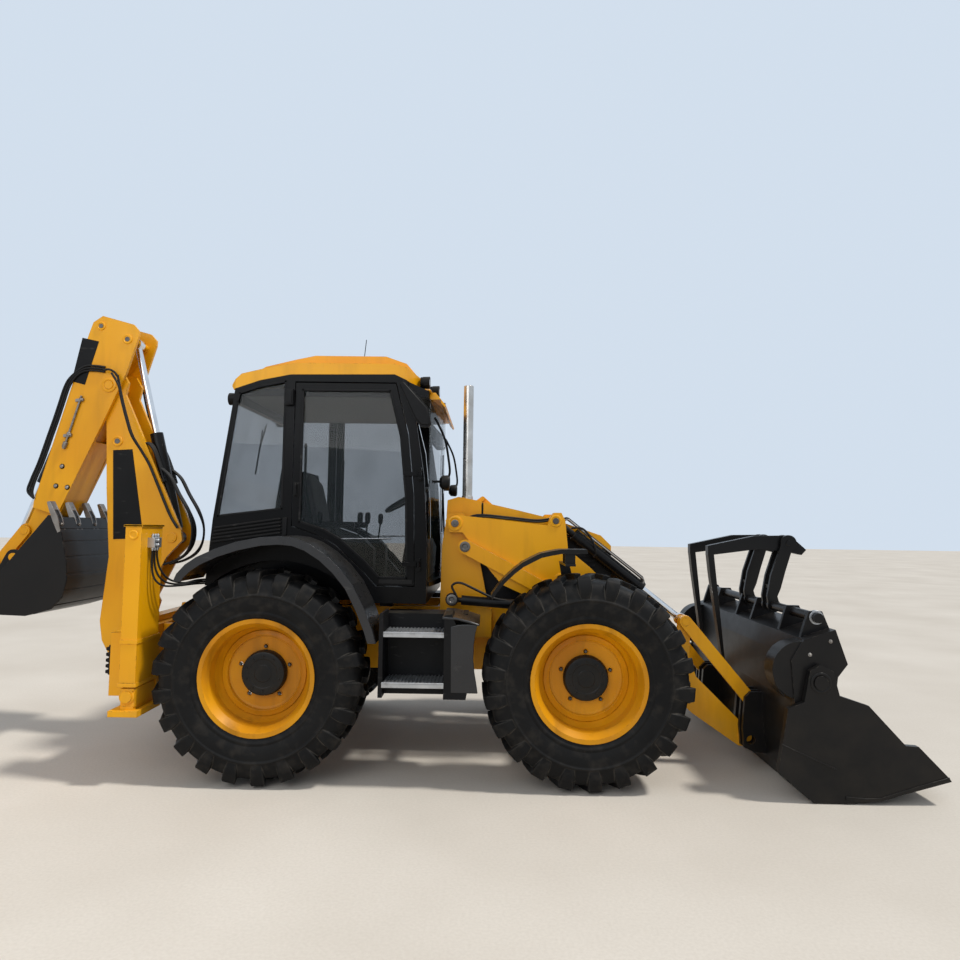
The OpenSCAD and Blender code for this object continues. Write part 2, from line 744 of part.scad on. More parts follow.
module dipper_inner() {
  box_pts = [on_inner(-860, -90), on_inner(-860, 84), on_inner(300, 90), on_inner(470, 40), on_inner(520, -30), on_inner(470, -110), on_inner(250, -110)];
  core_pts = [on_inner(-870, -72), on_inner(-870, 66), on_inner(280, 72), on_inner(280, -72)];
  color("goldenrod")
    at_machine()
      difference() {
        union() {
          slab(box_pts, -125, 125);
          both() slab(concat(link_pts(crowd_base, on_inner(-780, -60), 62, 42)), 66, 90);
          bar(crowd_base, pin_r, -92, 92);
          bar(bucket_pin, 32, -222, 222);
          bar(lever_pin, pin_r, -153, 153);
          bar(bucket_pin, 70, -125, 125);
          bar(lever_pin, 60, -125, 125);
        }
        slab(core_pts, -100, 100);
      }
}

module crowd_ram_barrel() {
  color([0.1, 0.1, 0.1]) at_machine() ram_barrel(crowd_base, crowd_eye, 0, 48, 26, 72, 1400, 50, 76, pin_r);
}

module crowd_ram_rod() {
  color("silver") at_machine() ram_rod(crowd_base, crowd_eye, 0, 26, 1350, 46, 72, 27);
}

module bucket_lever() {
  color("gold")
    at_machine()
      both()
        difference() {
          union() {
            link(lever_pin, crowd_eye, 46, 44, 131, 151);
            bar(crowd_eye, 27, 42, 182);
          }
          bar(lever_pin, pin_r + bore_gap, 100, 200);
        }
}

module bucket_link() {
  color("gold")
    at_machine()
      both()
        difference() {
          link(crowd_eye, link_eye, 42, 40, 157, 180);
          bar(crowd_eye, 27 + bore_gap, 150, 190);
        }
}

bucket_out = [
  [-1868, 1775], [-1820, 1650], [-1770, 1420], [-1760, 1280], [-1790, 1150], [-1870, 1060],
  [-2070, 1000], [-2270, 1006], [-2375, 1024]
];
bucket_in = [
  [-2368, 1046], [-2270, 1027], [-2075, 1020], [-1882, 1076],
  [-1808, 1158], [-1780, 1282], [-1790, 1418], [-1840, 1648], [-1884, 1768]
];
bucket_side = concat(bucket_out, [[-2445, 1045], [-2560, 1130], [-2590, 1230], [-2540, 1260], [-2400, 1200], [-1930, 1790]]);
tooth_pts = [
  [-1938, 1888], [-1926, 1892], [-1868, 1782], [-1834, 1668], [-1850, 1660], [-1886, 1735], [-1910, 1800]
];

module bucket() {
  h = bucket_w / 2;
  color([0.15, 0.15, 0.15])
    at_machine()
      difference() {
        union() {
          slab(concat(bucket_out, bucket_in), -h, h);
          both() {
            slab(bucket_side, h - 20, h);
            slab(link_pts(bucket_pin, link_eye, 62, 56), 186, 214);
            slab([[-2360, 1440], [-2260, 1400], [-2200, 1015], [-2440, 1050], [-2500, 1100], [-2520, 1160]], 186, 214);
          }
          for (i = [0:3]) let (y = -h + 5 + i * (bucket_w - 70) / 3) slab(tooth_pts, y, y + 60);
          both() bar(link_eye, 30, 186, 222);
        }
        bar(bucket_pin, 32 + bore_gap, -250, 250);
      }
}

// Loader

arm_pts = [
  [1205, 1790], [1283, 1835], [1990, 1762], [2005, 1820], [2040, 1860], [2095, 1860], [2125, 1800],
  [2146, 1583], [2312, 1450], [2900, 880], [2960, 862], [3020, 858], [3060, 800], [3112, 644],
  [3439, 322], [3530, 270], [3555, 215], [3530, 158], [3480, 138], [3424, 142], [3080, 374],
  [2700, 720], [2520, 1040], [2450, 1050], [2380, 1080], [2290, 1140], [2180, 1270], [2090, 1295],
  [1990, 1310], [1880, 1300], [1820, 1230], [1640, 1310], [1480, 1500], [1395, 1625], [1340, 1700], [1240, 1700]
];

module loader_arms() {
  color("gold")
    at_machine() {
      both()
        difference() {
          union() {
            slab(arm_pts, arm_y, arm_y + arm_t);
            slab([[1990, 1640], [2005, 1820], [2040, 1860], [2095, 1860], [2112, 1800], [2112, 1640]], 364, 379);
            block([1995, 370, 1640], [2110, arm_y + 5, 1700]);
            bar(tilt_base, pin_r, 364, arm_y + 10);
            bar(level_arm_pin, pin_r, 392, arm_y + 10);
            bar(tilt_lever_pin, pin_r, arm_y + 10, 533);
            bar(lift_eye, 44, arm_y + 10, lift_y - 29);
          }
          bar(arm_pin, pin_r + bore_gap, 400, 520);
        }
      bar([2720, 880], 70, -arm_y - 5, arm_y + 5);
      both() bar(shovel_pin, 32, arm_y - 50, arm_y + arm_t + 38);
    }
}

module lift_ram_barrels() {
  color([0.1, 0.1, 0.1]) at_machine() both() ram_barrel(lift_base, lift_eye, lift_y, lift_ram_d / 2, 22, 70, 780, 48, 46, pin_r);
}

module lift_ram_rods() {
  color("silver") at_machine() both() ram_rod(lift_base, lift_eye, lift_y, 22, 1010, 44, 46, 27);
}

module tilt_ram_barrels() {
  color([0.1, 0.1, 0.1]) at_machine() both() ram_barrel(tilt_base, tilt_eye, tilt_y, tilt_ram_d / 2, 26, 170, 830, 50, 54, pin_r);
}

module tilt_ram_rods() {
  color("silver") at_machine() both() ram_rod(tilt_base, tilt_eye, tilt_y, 26, 860, 46, 54, 27);
}

module tilt_levers() {
  color("gold")
    at_machine()
      both()
        difference() {
          union() {
            link(tilt_lever_pin, tilt_eye, 58, 46, 501, 531);
            bar(tilt_eye, pin_r, arm_y, 568);
          }
          bar(tilt_lever_pin, pin_r + bore_gap, 480, 560);
        }
}

module tilt_links() {
  color("gold")
    at_machine()
      both()
        difference() {
          link(tilt_eye, shovel_top_pin, 46, 46, 537, 567);
          bar(tilt_eye, pin_r + bore_gap, 520, 590);
        }
}

module level_links() {
  color("gold")
    at_machine()
      both()
        difference() {
          link(level_pin, level_eye, 54, 50, 501, 521);
          bar(level_pin, pin_r + bore_gap, 480, 560);
          bar(level_eye, 24, 480, 560);
        }
}

module level_levers() {
  color("gold")
    at_machine()
      both()
        difference() {
          union() {
            link(level_arm_pin, level_eye, 52, 46, 400, 430);
            bar(level_eye, 22, 420, 521);
          }
          bar(level_arm_pin, pin_r + bore_gap, 380, 440);
        }
}

back_pts = [
  [3629, 1033], [3834, 1101], [3860, 1025], [3700, 962], [3640, 870], [3590, 620], [3602, 300],
  [3640, 120], [3700, 30], [3775, 22], [3775, 0], [3650, 0], [3598, 110], [3574, 300], [3562, 620],
  [3600, 900]
];
end_pts = [
  [3600, 1000], [3629, 1033], [3834, 1101], [3910, 877], [3844, 793], [3829, 684], [3740, 640],
  [3560, 600], [3540, 900]
];
clam_side_pts = [
  [3495, 597], [3600, 640], [3640, 840], [3708, 880], [3790, 840], [3829, 684], [4015, 624], [4246, 375],
  [4329, 370], [4521, 173], [4533, 154], [4065, 22], [3855, 4], [3650, 4], [3425, 195]
];

module shovel_back() {
  h = shovel_w / 2;
  color([0.12, 0.12, 0.12])
    at_machine()
      difference() {
        union() {
          slab(back_pts, -h + 75, h - 75);
          both() {
            slab(end_pts, h - 80, h - 50);
            for (y = [397, 501, 573])
              slab([[3430, 160], [3420, 300], [3440, 520], [3480, 560], [3600, 560], [3600, 120], [3500, 130]], y, y + (y == 573 ? 30 : y == 501 ? 30 : 40));
            translate([0, 0, 0]) bar([3610, 830], 190, h - 200, h - 60);
            bar(clam_pin, 45, h - 60, h + 12);
            for (y = [150, 700, 1050]) slab([[3640, 1030], [3700, 1210], [3790, 1210], [3834, 1101]], y, y + 30);
          }
          bar(fork_shaft, 33, -1120, 1120);
        }
        bar(shovel_pin, 32 + bore_gap, -700, 700);
      }
}

module shovel_clam() {
  h = shovel_w / 2;
  floor_pts = [[4533, 154], [4065, 22], [3855, 4], [3780, 4], [3780, 30], [3850, 34], [4060, 52], [4522, 176]];
  color([0.12, 0.12, 0.12])
    at_machine()
      difference() {
        union() {
          both() slab(clam_side_pts, h - 40, h);
          slab(floor_pts, -h + 20, h - 20);
        }
        bar(clam_pin, 45 + bore_gap, -h - 30, h + 30);
      }
}

fork_arm_pts = [
  [3708, 1160], [3698, 1240], [3728, 1400], [3818, 1660], [3900, 1620], [3842, 1440], [3802, 1300],
  [3776, 1240], [3790, 1190]
];
fork_ys = [-320, 170];

module fork_arms() {
  color([0.12, 0.12, 0.12])
    at_machine()
      for (y = fork_ys)
        difference() {
          union() {
            for (d = [-65, 40]) {
              bar(fork_shaft, 50, y + d, y + d + 25);
              bar(fork_pin, 62, y + d, y + d + 25);
              slab(fork_arm_pts, y + d, y + d + 25);
            }
            slab([[3722, 1300], [3722, 1325], [3794, 1325], [3794, 1300]], y - 50, y + 50);
          }
          bar(fork_shaft, 33 + bore_gap, y - 100, y + 100);
          bar(fork_pin, 22 + bore_gap, y - 100, y + 100);
        }
}

module forks() {
  color([0.12, 0.12, 0.12])
    at_machine()
      for (y = fork_ys) {
        slab([[4017, 1600], [3950, 1660], [3880, 1710], [3622, 1704], [3254, 1622], [3254, 1546], [3640, 1600], [3860, 1585], [3980, 1560]],
          y - 33, y + 33);
        slab([[3254, 1560], [3300, 1560], [3380, 724], [3360, 720], [3270, 1400]], y - 33, y + 33);
        bar(fork_pin, 22, y - 70, y + 70);
      }
}

// Nodes

chassis();
engine();
front_axle();
rear_axle();
color("dimgray") knuckle(front_x, 1);  // knuckle_fl
color("dimgray") knuckle(front_x, -1);  // knuckle_fr
color("dimgray") knuckle(0, 1);  // knuckle_rl
color("dimgray") knuckle(0, -1);  // knuckle_rr
wheel_rim(front_x, 1);  // rim_fl
wheel_rim(front_x, -1);  // rim_fr
wheel_rim(0, 1);  // rim_rl
wheel_rim(0, -1);  // rim_rr
wheel_tyre(front_x, 1);  // tyre_fl
wheel_tyre(front_x, -1);  // tyre_fr
wheel_tyre(0, 1);  // tyre_rl
wheel_tyre(0, -1);  // tyre_rr
cab_frame();
cab_roof();
cab_glass();
cab_inside();
door(1);  // door_l
door(-1);  // door_r
door_glass(1);  // door_glass_l
door_glass(-1);  // door_glass_r
rear_fenders();
side_modules();
hood();
nose();
cowl();
stabiliser_cases();
stabiliser(1);  // stabiliser_l
stabiliser(-1);  // stabiliser_r
carriage();
kingpost();
boom();
boom_ram_barrel();
boom_ram_rod();
dipper();
dipper_ram_barrel();
dipper_ram_rod();
dipper_inner();
crowd_ram_barrel();
crowd_ram_rod();
bucket_lever();
bucket_link();
bucket();
loader_arms();
lift_ram_barrels();
lift_ram_rods();
tilt_ram_barrels();
tilt_ram_rods();
tilt_levers();
tilt_links();
level_links();
level_levers();
shovel_back();
shovel_clam();
fork_arms();
forks();
lamps_mirrors();
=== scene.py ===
"""Looks of a four-wheel-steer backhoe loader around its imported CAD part.

Places are written as on the machine's side drawing, in millimetres: x ahead of the rear
axle, y to the machine's left, z up. at() turns them into metres in the part's frame.
"""
import json
import math

import bmesh
import bpy
from mathutils import Matrix, Vector


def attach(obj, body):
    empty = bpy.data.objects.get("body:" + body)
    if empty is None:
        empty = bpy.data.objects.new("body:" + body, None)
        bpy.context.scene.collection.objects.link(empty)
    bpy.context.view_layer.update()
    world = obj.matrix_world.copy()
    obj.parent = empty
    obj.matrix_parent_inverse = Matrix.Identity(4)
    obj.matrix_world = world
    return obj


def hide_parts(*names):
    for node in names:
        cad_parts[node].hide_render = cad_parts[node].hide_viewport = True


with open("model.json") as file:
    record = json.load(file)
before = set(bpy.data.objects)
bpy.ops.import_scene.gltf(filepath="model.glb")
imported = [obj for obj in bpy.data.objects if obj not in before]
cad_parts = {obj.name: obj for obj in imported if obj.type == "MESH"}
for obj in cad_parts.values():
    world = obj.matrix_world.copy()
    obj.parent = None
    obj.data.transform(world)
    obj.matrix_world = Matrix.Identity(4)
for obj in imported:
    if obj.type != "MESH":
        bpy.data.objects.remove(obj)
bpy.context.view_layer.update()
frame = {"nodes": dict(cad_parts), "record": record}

MM = 0.001
REAR_AXLE_X = -971
AXLE_X = {"f": 2220, "r": 0}
AXLE_Z = 717.5
TRACK_HALF = 960
TYRE_R = 717.5
TYRE_HALF_W = 215
RIM_R = 393
LUG_COUNT = 22
HUB_BOLTS = 10
WHEEL_NUTS = 5
SIDES = (-1, 1)
TAGS = {-1: "r", 1: "l"}
CAB_FACE_Y = 736
LOUVRES = 5
SHOVEL_FACE_Y = 1219
DIPPER_FACE_Y = 166
BOOM_FACE_Y = 130
HOSE_R = 9
ARM_HOSE_R = 8
CASE_HOSE_R = 7
RAM_PIPE_R = 7.5
SKIN_GRAIN = 420
FINE_BUMP = 0.0006
EDGE_SAMPLES = 4


def at(x, y, z):
    return Vector(((x + REAR_AXLE_X) * MM, y * MM, z * MM))


def span(side, a, b):
    """the two y values of a strip on one side, low to high"""
    return sorted((side * a, side * b))


def srgb(r, g, b):
    def lin(c):
        c /= 255
        return c / 12.92 if c <= 0.04045 else ((c + 0.055) / 1.055) ** 2.4
    return (lin(r), lin(g), lin(b), 1.0)


# Materials

FIELD_DUST = srgb(168, 150, 122)
PLASTIC_DUST = srgb(150, 138, 118)
SCUFF = srgb(110, 108, 104)
RUST = srgb(92, 70, 50)


class Nodes:
    """A short way to write one material's node tree."""

    def __init__(self, name):
        self.mat = bpy.data.materials.new(name)
        self.mat.use_nodes = True
        self.tree = self.mat.node_tree
        self.bsdf = self.tree.nodes["Principled BSDF"]
        coords = self.tree.nodes.new("ShaderNodeTexCoord")
        self.place = coords.outputs["Object"]
        self.normal = coords.outputs["Normal"]

    def new(self, kind, **values):
        node = self.tree.nodes.new(kind)
        for key, value in values.items():
            setattr(node, key, value)
        return node

    def link(self, a, b):
        self.tree.links.new(a, b)

    def put(self, socket, value):
        if isinstance(value, (int, float, tuple, list)):
            socket.default_value = value
        else:
            self.link(value, socket)

    def shade(self, name, value):
        """links a value to one input of the shader"""
        self.link(value, self.bsdf.inputs[name])

    def math(self, op, a, b=0.0, clamp=False):
        node = self.new("ShaderNodeMath", operation=op, use_clamp=clamp)
        self.put(node.inputs[0], a)
        self.put(node.inputs[1], b)
        return node.outputs[0]

    def noise(self, scale, detail=3.0, stretch=(1, 1, 1)):
        mapping = self.new("ShaderNodeMapping")
        mapping.inputs["Scale"].default_value = stretch
        self.link(self.place, mapping.inputs["Vector"])
        node = self.new("ShaderNodeTexNoise")
        node.inputs["Scale"].default_value = scale
        node.inputs["Detail"].default_value = detail
        self.link(mapping.outputs[0], node.inputs["Vector"])
        return node.outputs["Fac"]

    def ramp(self, value, low, high):
        node = self.new("ShaderNodeMapRange")
        node.inputs["From Min"].default_value = low
        node.inputs["From Max"].default_value = high
        self.link(value, node.inputs["Value"])
        return node.outputs["Result"]

    def patches(self, value, low, high, share):
        """value from low to high, scaled by share and kept within 0 and 1"""
        return self.math("MULTIPLY", self.ramp(value, low, high), share, True)

    def mix(self, factor, a, b):
        node = self.new("ShaderNodeMix", data_type="RGBA")
        self.put(node.inputs["Factor"], factor)
        self.put(node.inputs["A"], a)
        self.put(node.inputs["B"], b)
        return node.outputs["Result"]

    def up(self):
        split = self.new("ShaderNodeSeparateXYZ")
        self.link(self.normal, split.inputs[0])
        return split.outputs["Z"]

    def height(self):
        split = self.new("ShaderNodeSeparateXYZ")
        self.link(self.place, split.inputs[0])
        return split.outputs["Z"]

    def bump(self, value, strength, distance, soft_edge=0.0):
        node = self.new("ShaderNodeBump")
        node.inputs["Strength"].default_value = strength
        node.inputs["Distance"].default_value = distance
        self.link(value, node.inputs["Height"])
        if soft_edge:
            bevel = self.new("ShaderNodeBevel", samples=EDGE_SAMPLES)
            bevel.inputs["Radius"].default_value = soft_edge
            self.link(bevel.outputs[0], node.inputs["Normal"])
        self.shade("Normal", node.outputs[0])

    def edges(self, radius):
        """1 along sharp edges, 0 on flat faces"""
        bevel = self.new("ShaderNodeBevel", samples=EDGE_SAMPLES)
        bevel.inputs["Radius"].default_value = radius
        geometry = self.new("ShaderNodeNewGeometry")
        dot = self.new("ShaderNodeVectorMath", operation="DOT_PRODUCT")
        self.link(bevel.outputs[0], dot.inputs[0])
        self.link(geometry.outputs["Normal"], dot.inputs[1])
        return self.ramp(dot.outputs["Value"], 0.985, 0.8)


def paint(name, base, shade, chip, dust_share, rough, coat, soft_edge=0.004, grime=0.3,
          shine=0.15):
    """Painted metal with dust on top and low down, streaks, and chips along its edges."""
    n = Nodes(name)
    colour = n.mix(n.ramp(n.noise(1.6, 2), 0.35, 0.65), base, shade)
    streaks = n.patches(n.noise(9, 4, (1, 1, 0.16)), 0.52, 0.8, grime)
    colour = n.mix(streaks, colour, tuple(c * 0.45 for c in shade[:3]) + (1.0,))
    top = n.math("MULTIPLY", n.ramp(n.up(), 0.3, 1.0), n.ramp(n.noise(5, 5), 0.3, 0.75))
    low = n.math("MULTIPLY", n.ramp(n.height(), 1.1, 0.1), n.ramp(n.noise(7, 5), 0.35, 0.7))
    dusty = n.math("MULTIPLY", n.math("ADD", top, low), dust_share, True)
    colour = n.mix(dusty, colour, FIELD_DUST)
    worn = n.math("MULTIPLY", n.edges(0.006), n.ramp(n.noise(38, 6), 0.52, 0.62), True)
    colour = n.mix(worn, colour, chip)
    n.shade("Base Color", colour)
    gloss = n.math("ADD", n.math("MULTIPLY", n.noise(12, 3), 0.16), rough - 0.08)
    n.shade("Roughness", n.math("ADD", gloss, n.math("MULTIPLY", dusty, 0.6), True))
    n.bsdf.inputs["Specular IOR Level"].default_value = shine
    n.bsdf.inputs["Coat Weight"].default_value = coat
    n.bsdf.inputs["Coat Roughness"].default_value = 0.16
    n.bump(n.noise(180, 2), 0.12, FINE_BUMP, soft_edge)
    return n.mat


def plastic(name, base, light, rough, grain=SKIN_GRAIN, shine=0.2):
    """Moulded plastic with a fine grain and a film of dust."""
    n = Nodes(name)
    colour = n.mix(n.ramp(n.noise(3.5, 3), 0.3, 0.7), base, light)
    top = n.math("MULTIPLY", n.ramp(n.up(), 0.1, 1.0), n.ramp(n.noise(4, 4), 0.25, 0.8))
    dusty = n.math("MULTIPLY", top, 0.12, True)
    colour = n.mix(dusty, colour, PLASTIC_DUST)
    scuffs = n.patches(n.noise(26, 6, (0.25, 1, 1)), 0.64, 0.72, 0.16)
    colour = n.mix(scuffs, colour, SCUFF)
    n.shade("Base Color", colour)
    n.shade("Roughness", n.math("ADD", n.math("MULTIPLY", n.noise(20, 3), 0.2), rough - 0.1))
    n.bsdf.inputs["Specular IOR Level"].default_value = shine
    n.bump(n.noise(grain, 2), 0.25, FINE_BUMP, 0.003)
    return n.mat


def rubber(name):
    """Tyre rubber, nearly black, with a little dust and worn grey edges."""
    n = Nodes(name)
    colour = n.mix(n.ramp(n.noise(5, 4), 0.3, 0.7), srgb(15, 15, 16), srgb(23, 23, 23))
    dust = n.patches(n.noise(14, 6), 0.5, 0.8, 0.12)
    colour = n.mix(dust, colour, srgb(110, 102, 92))
    worn = n.math("MULTIPLY", n.edges(0.012), n.ramp(n.noise(16, 5), 0.3, 0.7), True)
    colour = n.mix(n.math("MULTIPLY", worn, 0.4), colour, srgb(124, 118, 108))
    n.shade("Base Color", colour)
    n.shade("Roughness", n.math("ADD", n.math("MULTIPLY", n.noise(30, 3), 0.2), 0.48))
    n.bsdf.inputs["Specular IOR Level"].default_value = 0.14
    n.bump(n.noise(150, 4), 0.4, 0.0015, 0.006)
    return n.mat


def metal(name, base, dark, rough, stretch=(1, 1, 1), metallic=1.0, spots=0.25, scale=60):
    """Bare, galvanised, cast or chromed metal; stretch runs its fine marks one way."""
    n = Nodes(name)
    colour = n.mix(n.ramp(n.noise(9, 4), 0.3, 0.7), base, dark)
    spot = n.patches(n.noise(24, 6), 0.58, 0.7, spots)
    colour = n.mix(spot, colour, RUST)
    n.shade("Base Color", colour)
    n.bsdf.inputs["Metallic"].default_value = metallic
    marks = n.noise(scale, 4, stretch)
    n.shade("Roughness", n.math("ADD", n.math("MULTIPLY", marks, 0.22), rough - 0.08, True))
    n.bump(marks, 0.12, FINE_BUMP, 0.002)
    return n.mat


def glazing(name):
    """Tinted window glass with faint patches of dust."""
    n = Nodes(name)
    haze = n.ramp(n.noise(3.2, 5), 0.5, 0.9)
    colour = n.mix(haze, srgb(10, 19, 18), srgb(58, 60, 56))
    n.shade("Base Color", colour)
    n.shade("Alpha", n.math("ADD", n.math("MULTIPLY", haze, 0.1), 0.32))
    n.shade("Roughness", n.math("ADD", n.math("MULTIPLY", haze, 0.05), 0.01))
    n.bsdf.inputs["IOR"].default_value = 1.5
    return n.mat


def lens(name, base):
    """Moulded lamp lens with small ribs."""
    n = Nodes(name)
    waves = n.new("ShaderNodeTexWave")
    waves.inputs["Scale"].default_value = 70
    n.link(n.place, waves.inputs["Vector"])
    darker = tuple(c * 0.6 for c in base[:3]) + (1.0,)
    n.shade("Base Color", n.mix(waves.outputs["Fac"], base, darker))
    n.shade("Roughness", n.math("ADD", n.math("MULTIPLY", n.noise(40), 0.1), 0.05))
    n.bsdf.inputs["Coat Weight"].default_value = 0.8
    n.bump(waves.outputs["Fac"], 0.3, 0.001)
    return n.mat


def fabric(name):
    """Woven seat cover."""
    n = Nodes(name)
    weave = n.noise(260, 2, (1, 1, 0.3))
    colour = n.mix(n.ramp(n.noise(5, 3), 0.3, 0.7), srgb(44, 45, 47), srgb(62, 62, 64))
    n.shade("Base Color", n.mix(n.ramp(weave, 0.45, 0.6), colour, srgb(78, 78, 80)))
    n.shade("Roughness", n.math("ADD", n.math("MULTIPLY", weave, 0.1), 0.85))
    n.bsdf.inputs["Sheen Weight"].default_value = 0.3
    n.bump(weave, 0.5, 0.001)
    return n.mat


YELLOW = paint(
    "yellow_paint", srgb(238, 170, 8), srgb(230, 158, 4), srgb(60, 44, 26),
    dust_share=0.1, rough=0.38, coat=0.1, shine=0.3)
RIM_YELLOW = paint(
    "rim_paint", srgb(228, 160, 8), srgb(196, 128, 6), srgb(70, 44, 22),
    dust_share=0.05, rough=0.4, coat=0.08, soft_edge=0.003, grime=0.7, shine=0.22)
BLACK = paint(
    "black_paint", srgb(16, 16, 17), srgb(25, 25, 25), srgb(84, 76, 66),
    dust_share=0.04, rough=0.34, coat=0.08)
SHOVEL_BLACK = paint(
    "shovel_paint", srgb(20, 20, 21), srgb(27, 26, 26), srgb(84, 78, 70),
    dust_share=0.02, rough=0.36, coat=0.1, grime=0.12)
CAB_BLACK = paint(
    "cab_paint", srgb(6, 6, 7), srgb(11, 11, 12), srgb(52, 50, 48),
    dust_share=0.04, rough=0.3, coat=0.05, shine=0.09)
HUB_BLACK = paint(
    "hub_paint", srgb(12, 13, 13), srgb(20, 20, 20), srgb(70, 64, 58),
    dust_share=0.06, rough=0.42, coat=0.15, soft_edge=0.003, grime=0.2)
FENDER = plastic("fender_plastic", srgb(22, 23, 26), srgb(29, 30, 33), rough=0.3, grain=900, shine=0.5)
DARK_PLASTIC = plastic("dark_plastic", srgb(11, 11, 12), srgb(18, 18, 19), rough=0.48, shine=0.16)
HOSE = plastic("hose_rubber", srgb(20, 20, 21), srgb(32, 32, 32), rough=0.5, grain=900)
TYRE = rubber("tyre_rubber")
CHROME = metal(
    "chrome_rod", (0.78, 0.79, 0.80, 1), (0.66, 0.67, 0.69, 1), rough=0.14, stretch=(1, 1, 6), spots=0.05)
STAINLESS = metal(
    "exhaust_steel", (0.62, 0.60, 0.57, 1), (0.46, 0.43, 0.39, 1),
    rough=0.26, stretch=(1, 1, 0.2), spots=0.15)
GALVANISED = metal(
    "galvanised_steel", (0.50, 0.51, 0.52, 1), (0.36, 0.37, 0.38, 1), rough=0.4, metallic=0.9, spots=0.2)
IRON = metal(
    "cast_iron", (0.12, 0.12, 0.12, 1), (0.07, 0.07, 0.07, 1), rough=0.6, metallic=0.6, spots=0.5, scale=140)
PIN = metal(
    "greasy_pin", (0.16, 0.15, 0.14, 1), (0.07, 0.065, 0.06, 1), rough=0.36, metallic=0.8, spots=0.3)
STEEL = metal(
    "bare_steel", (0.32, 0.30, 0.28, 1), (0.20, 0.18, 0.16, 1), rough=0.42, metallic=0.9, spots=0.5)
MIRROR = metal(
    "mirror_face", (0.82, 0.84, 0.86, 1), (0.74, 0.77, 0.80, 1), rough=0.1, spots=0.02)
GLASS = glazing("window_glass")
LAMP = lens("lamp_lens", (0.75, 0.78, 0.80, 1))
SEAT = fabric("seat_fabric")

BY_SLOT = {
    "yellow": YELLOW, "black_paint": BLACK, "plastic": DARK_PLASTIC, "glass": GLASS,
    "chrome": CHROME, "engine_iron": IRON, "tyre": TYRE,
}
BY_NODE = {
    "cab_frame": CAB_BLACK, "door_l": CAB_BLACK, "door_r": CAB_BLACK, "rear_fenders": FENDER,
    "shovel_back": SHOVEL_BLACK, "shovel_clam": SHOVEL_BLACK, "bucket": SHOVEL_BLACK,
    "front_axle": IRON, "rear_axle": IRON,
    "rim_fl": RIM_YELLOW, "rim_fr": RIM_YELLOW, "rim_rl": RIM_YELLOW, "rim_rr": RIM_YELLOW,
}


def dress_nodes():
    """Gives each CAD solid the material of its slot, or one of its own."""
    for row in frame["record"]["subparts"]:
        name = row["node"]
        mesh = frame["nodes"][name].data
        mesh.materials.clear()
        mesh.materials.append(BY_NODE.get(name, BY_SLOT[row["material_slot"]]))


# Pieces

def show(name, data):
    """puts a mesh, curve, light or camera into the scene"""
    obj = bpy.data.objects.new(name, data)
    bpy.context.collection.objects.link(obj)
    return obj


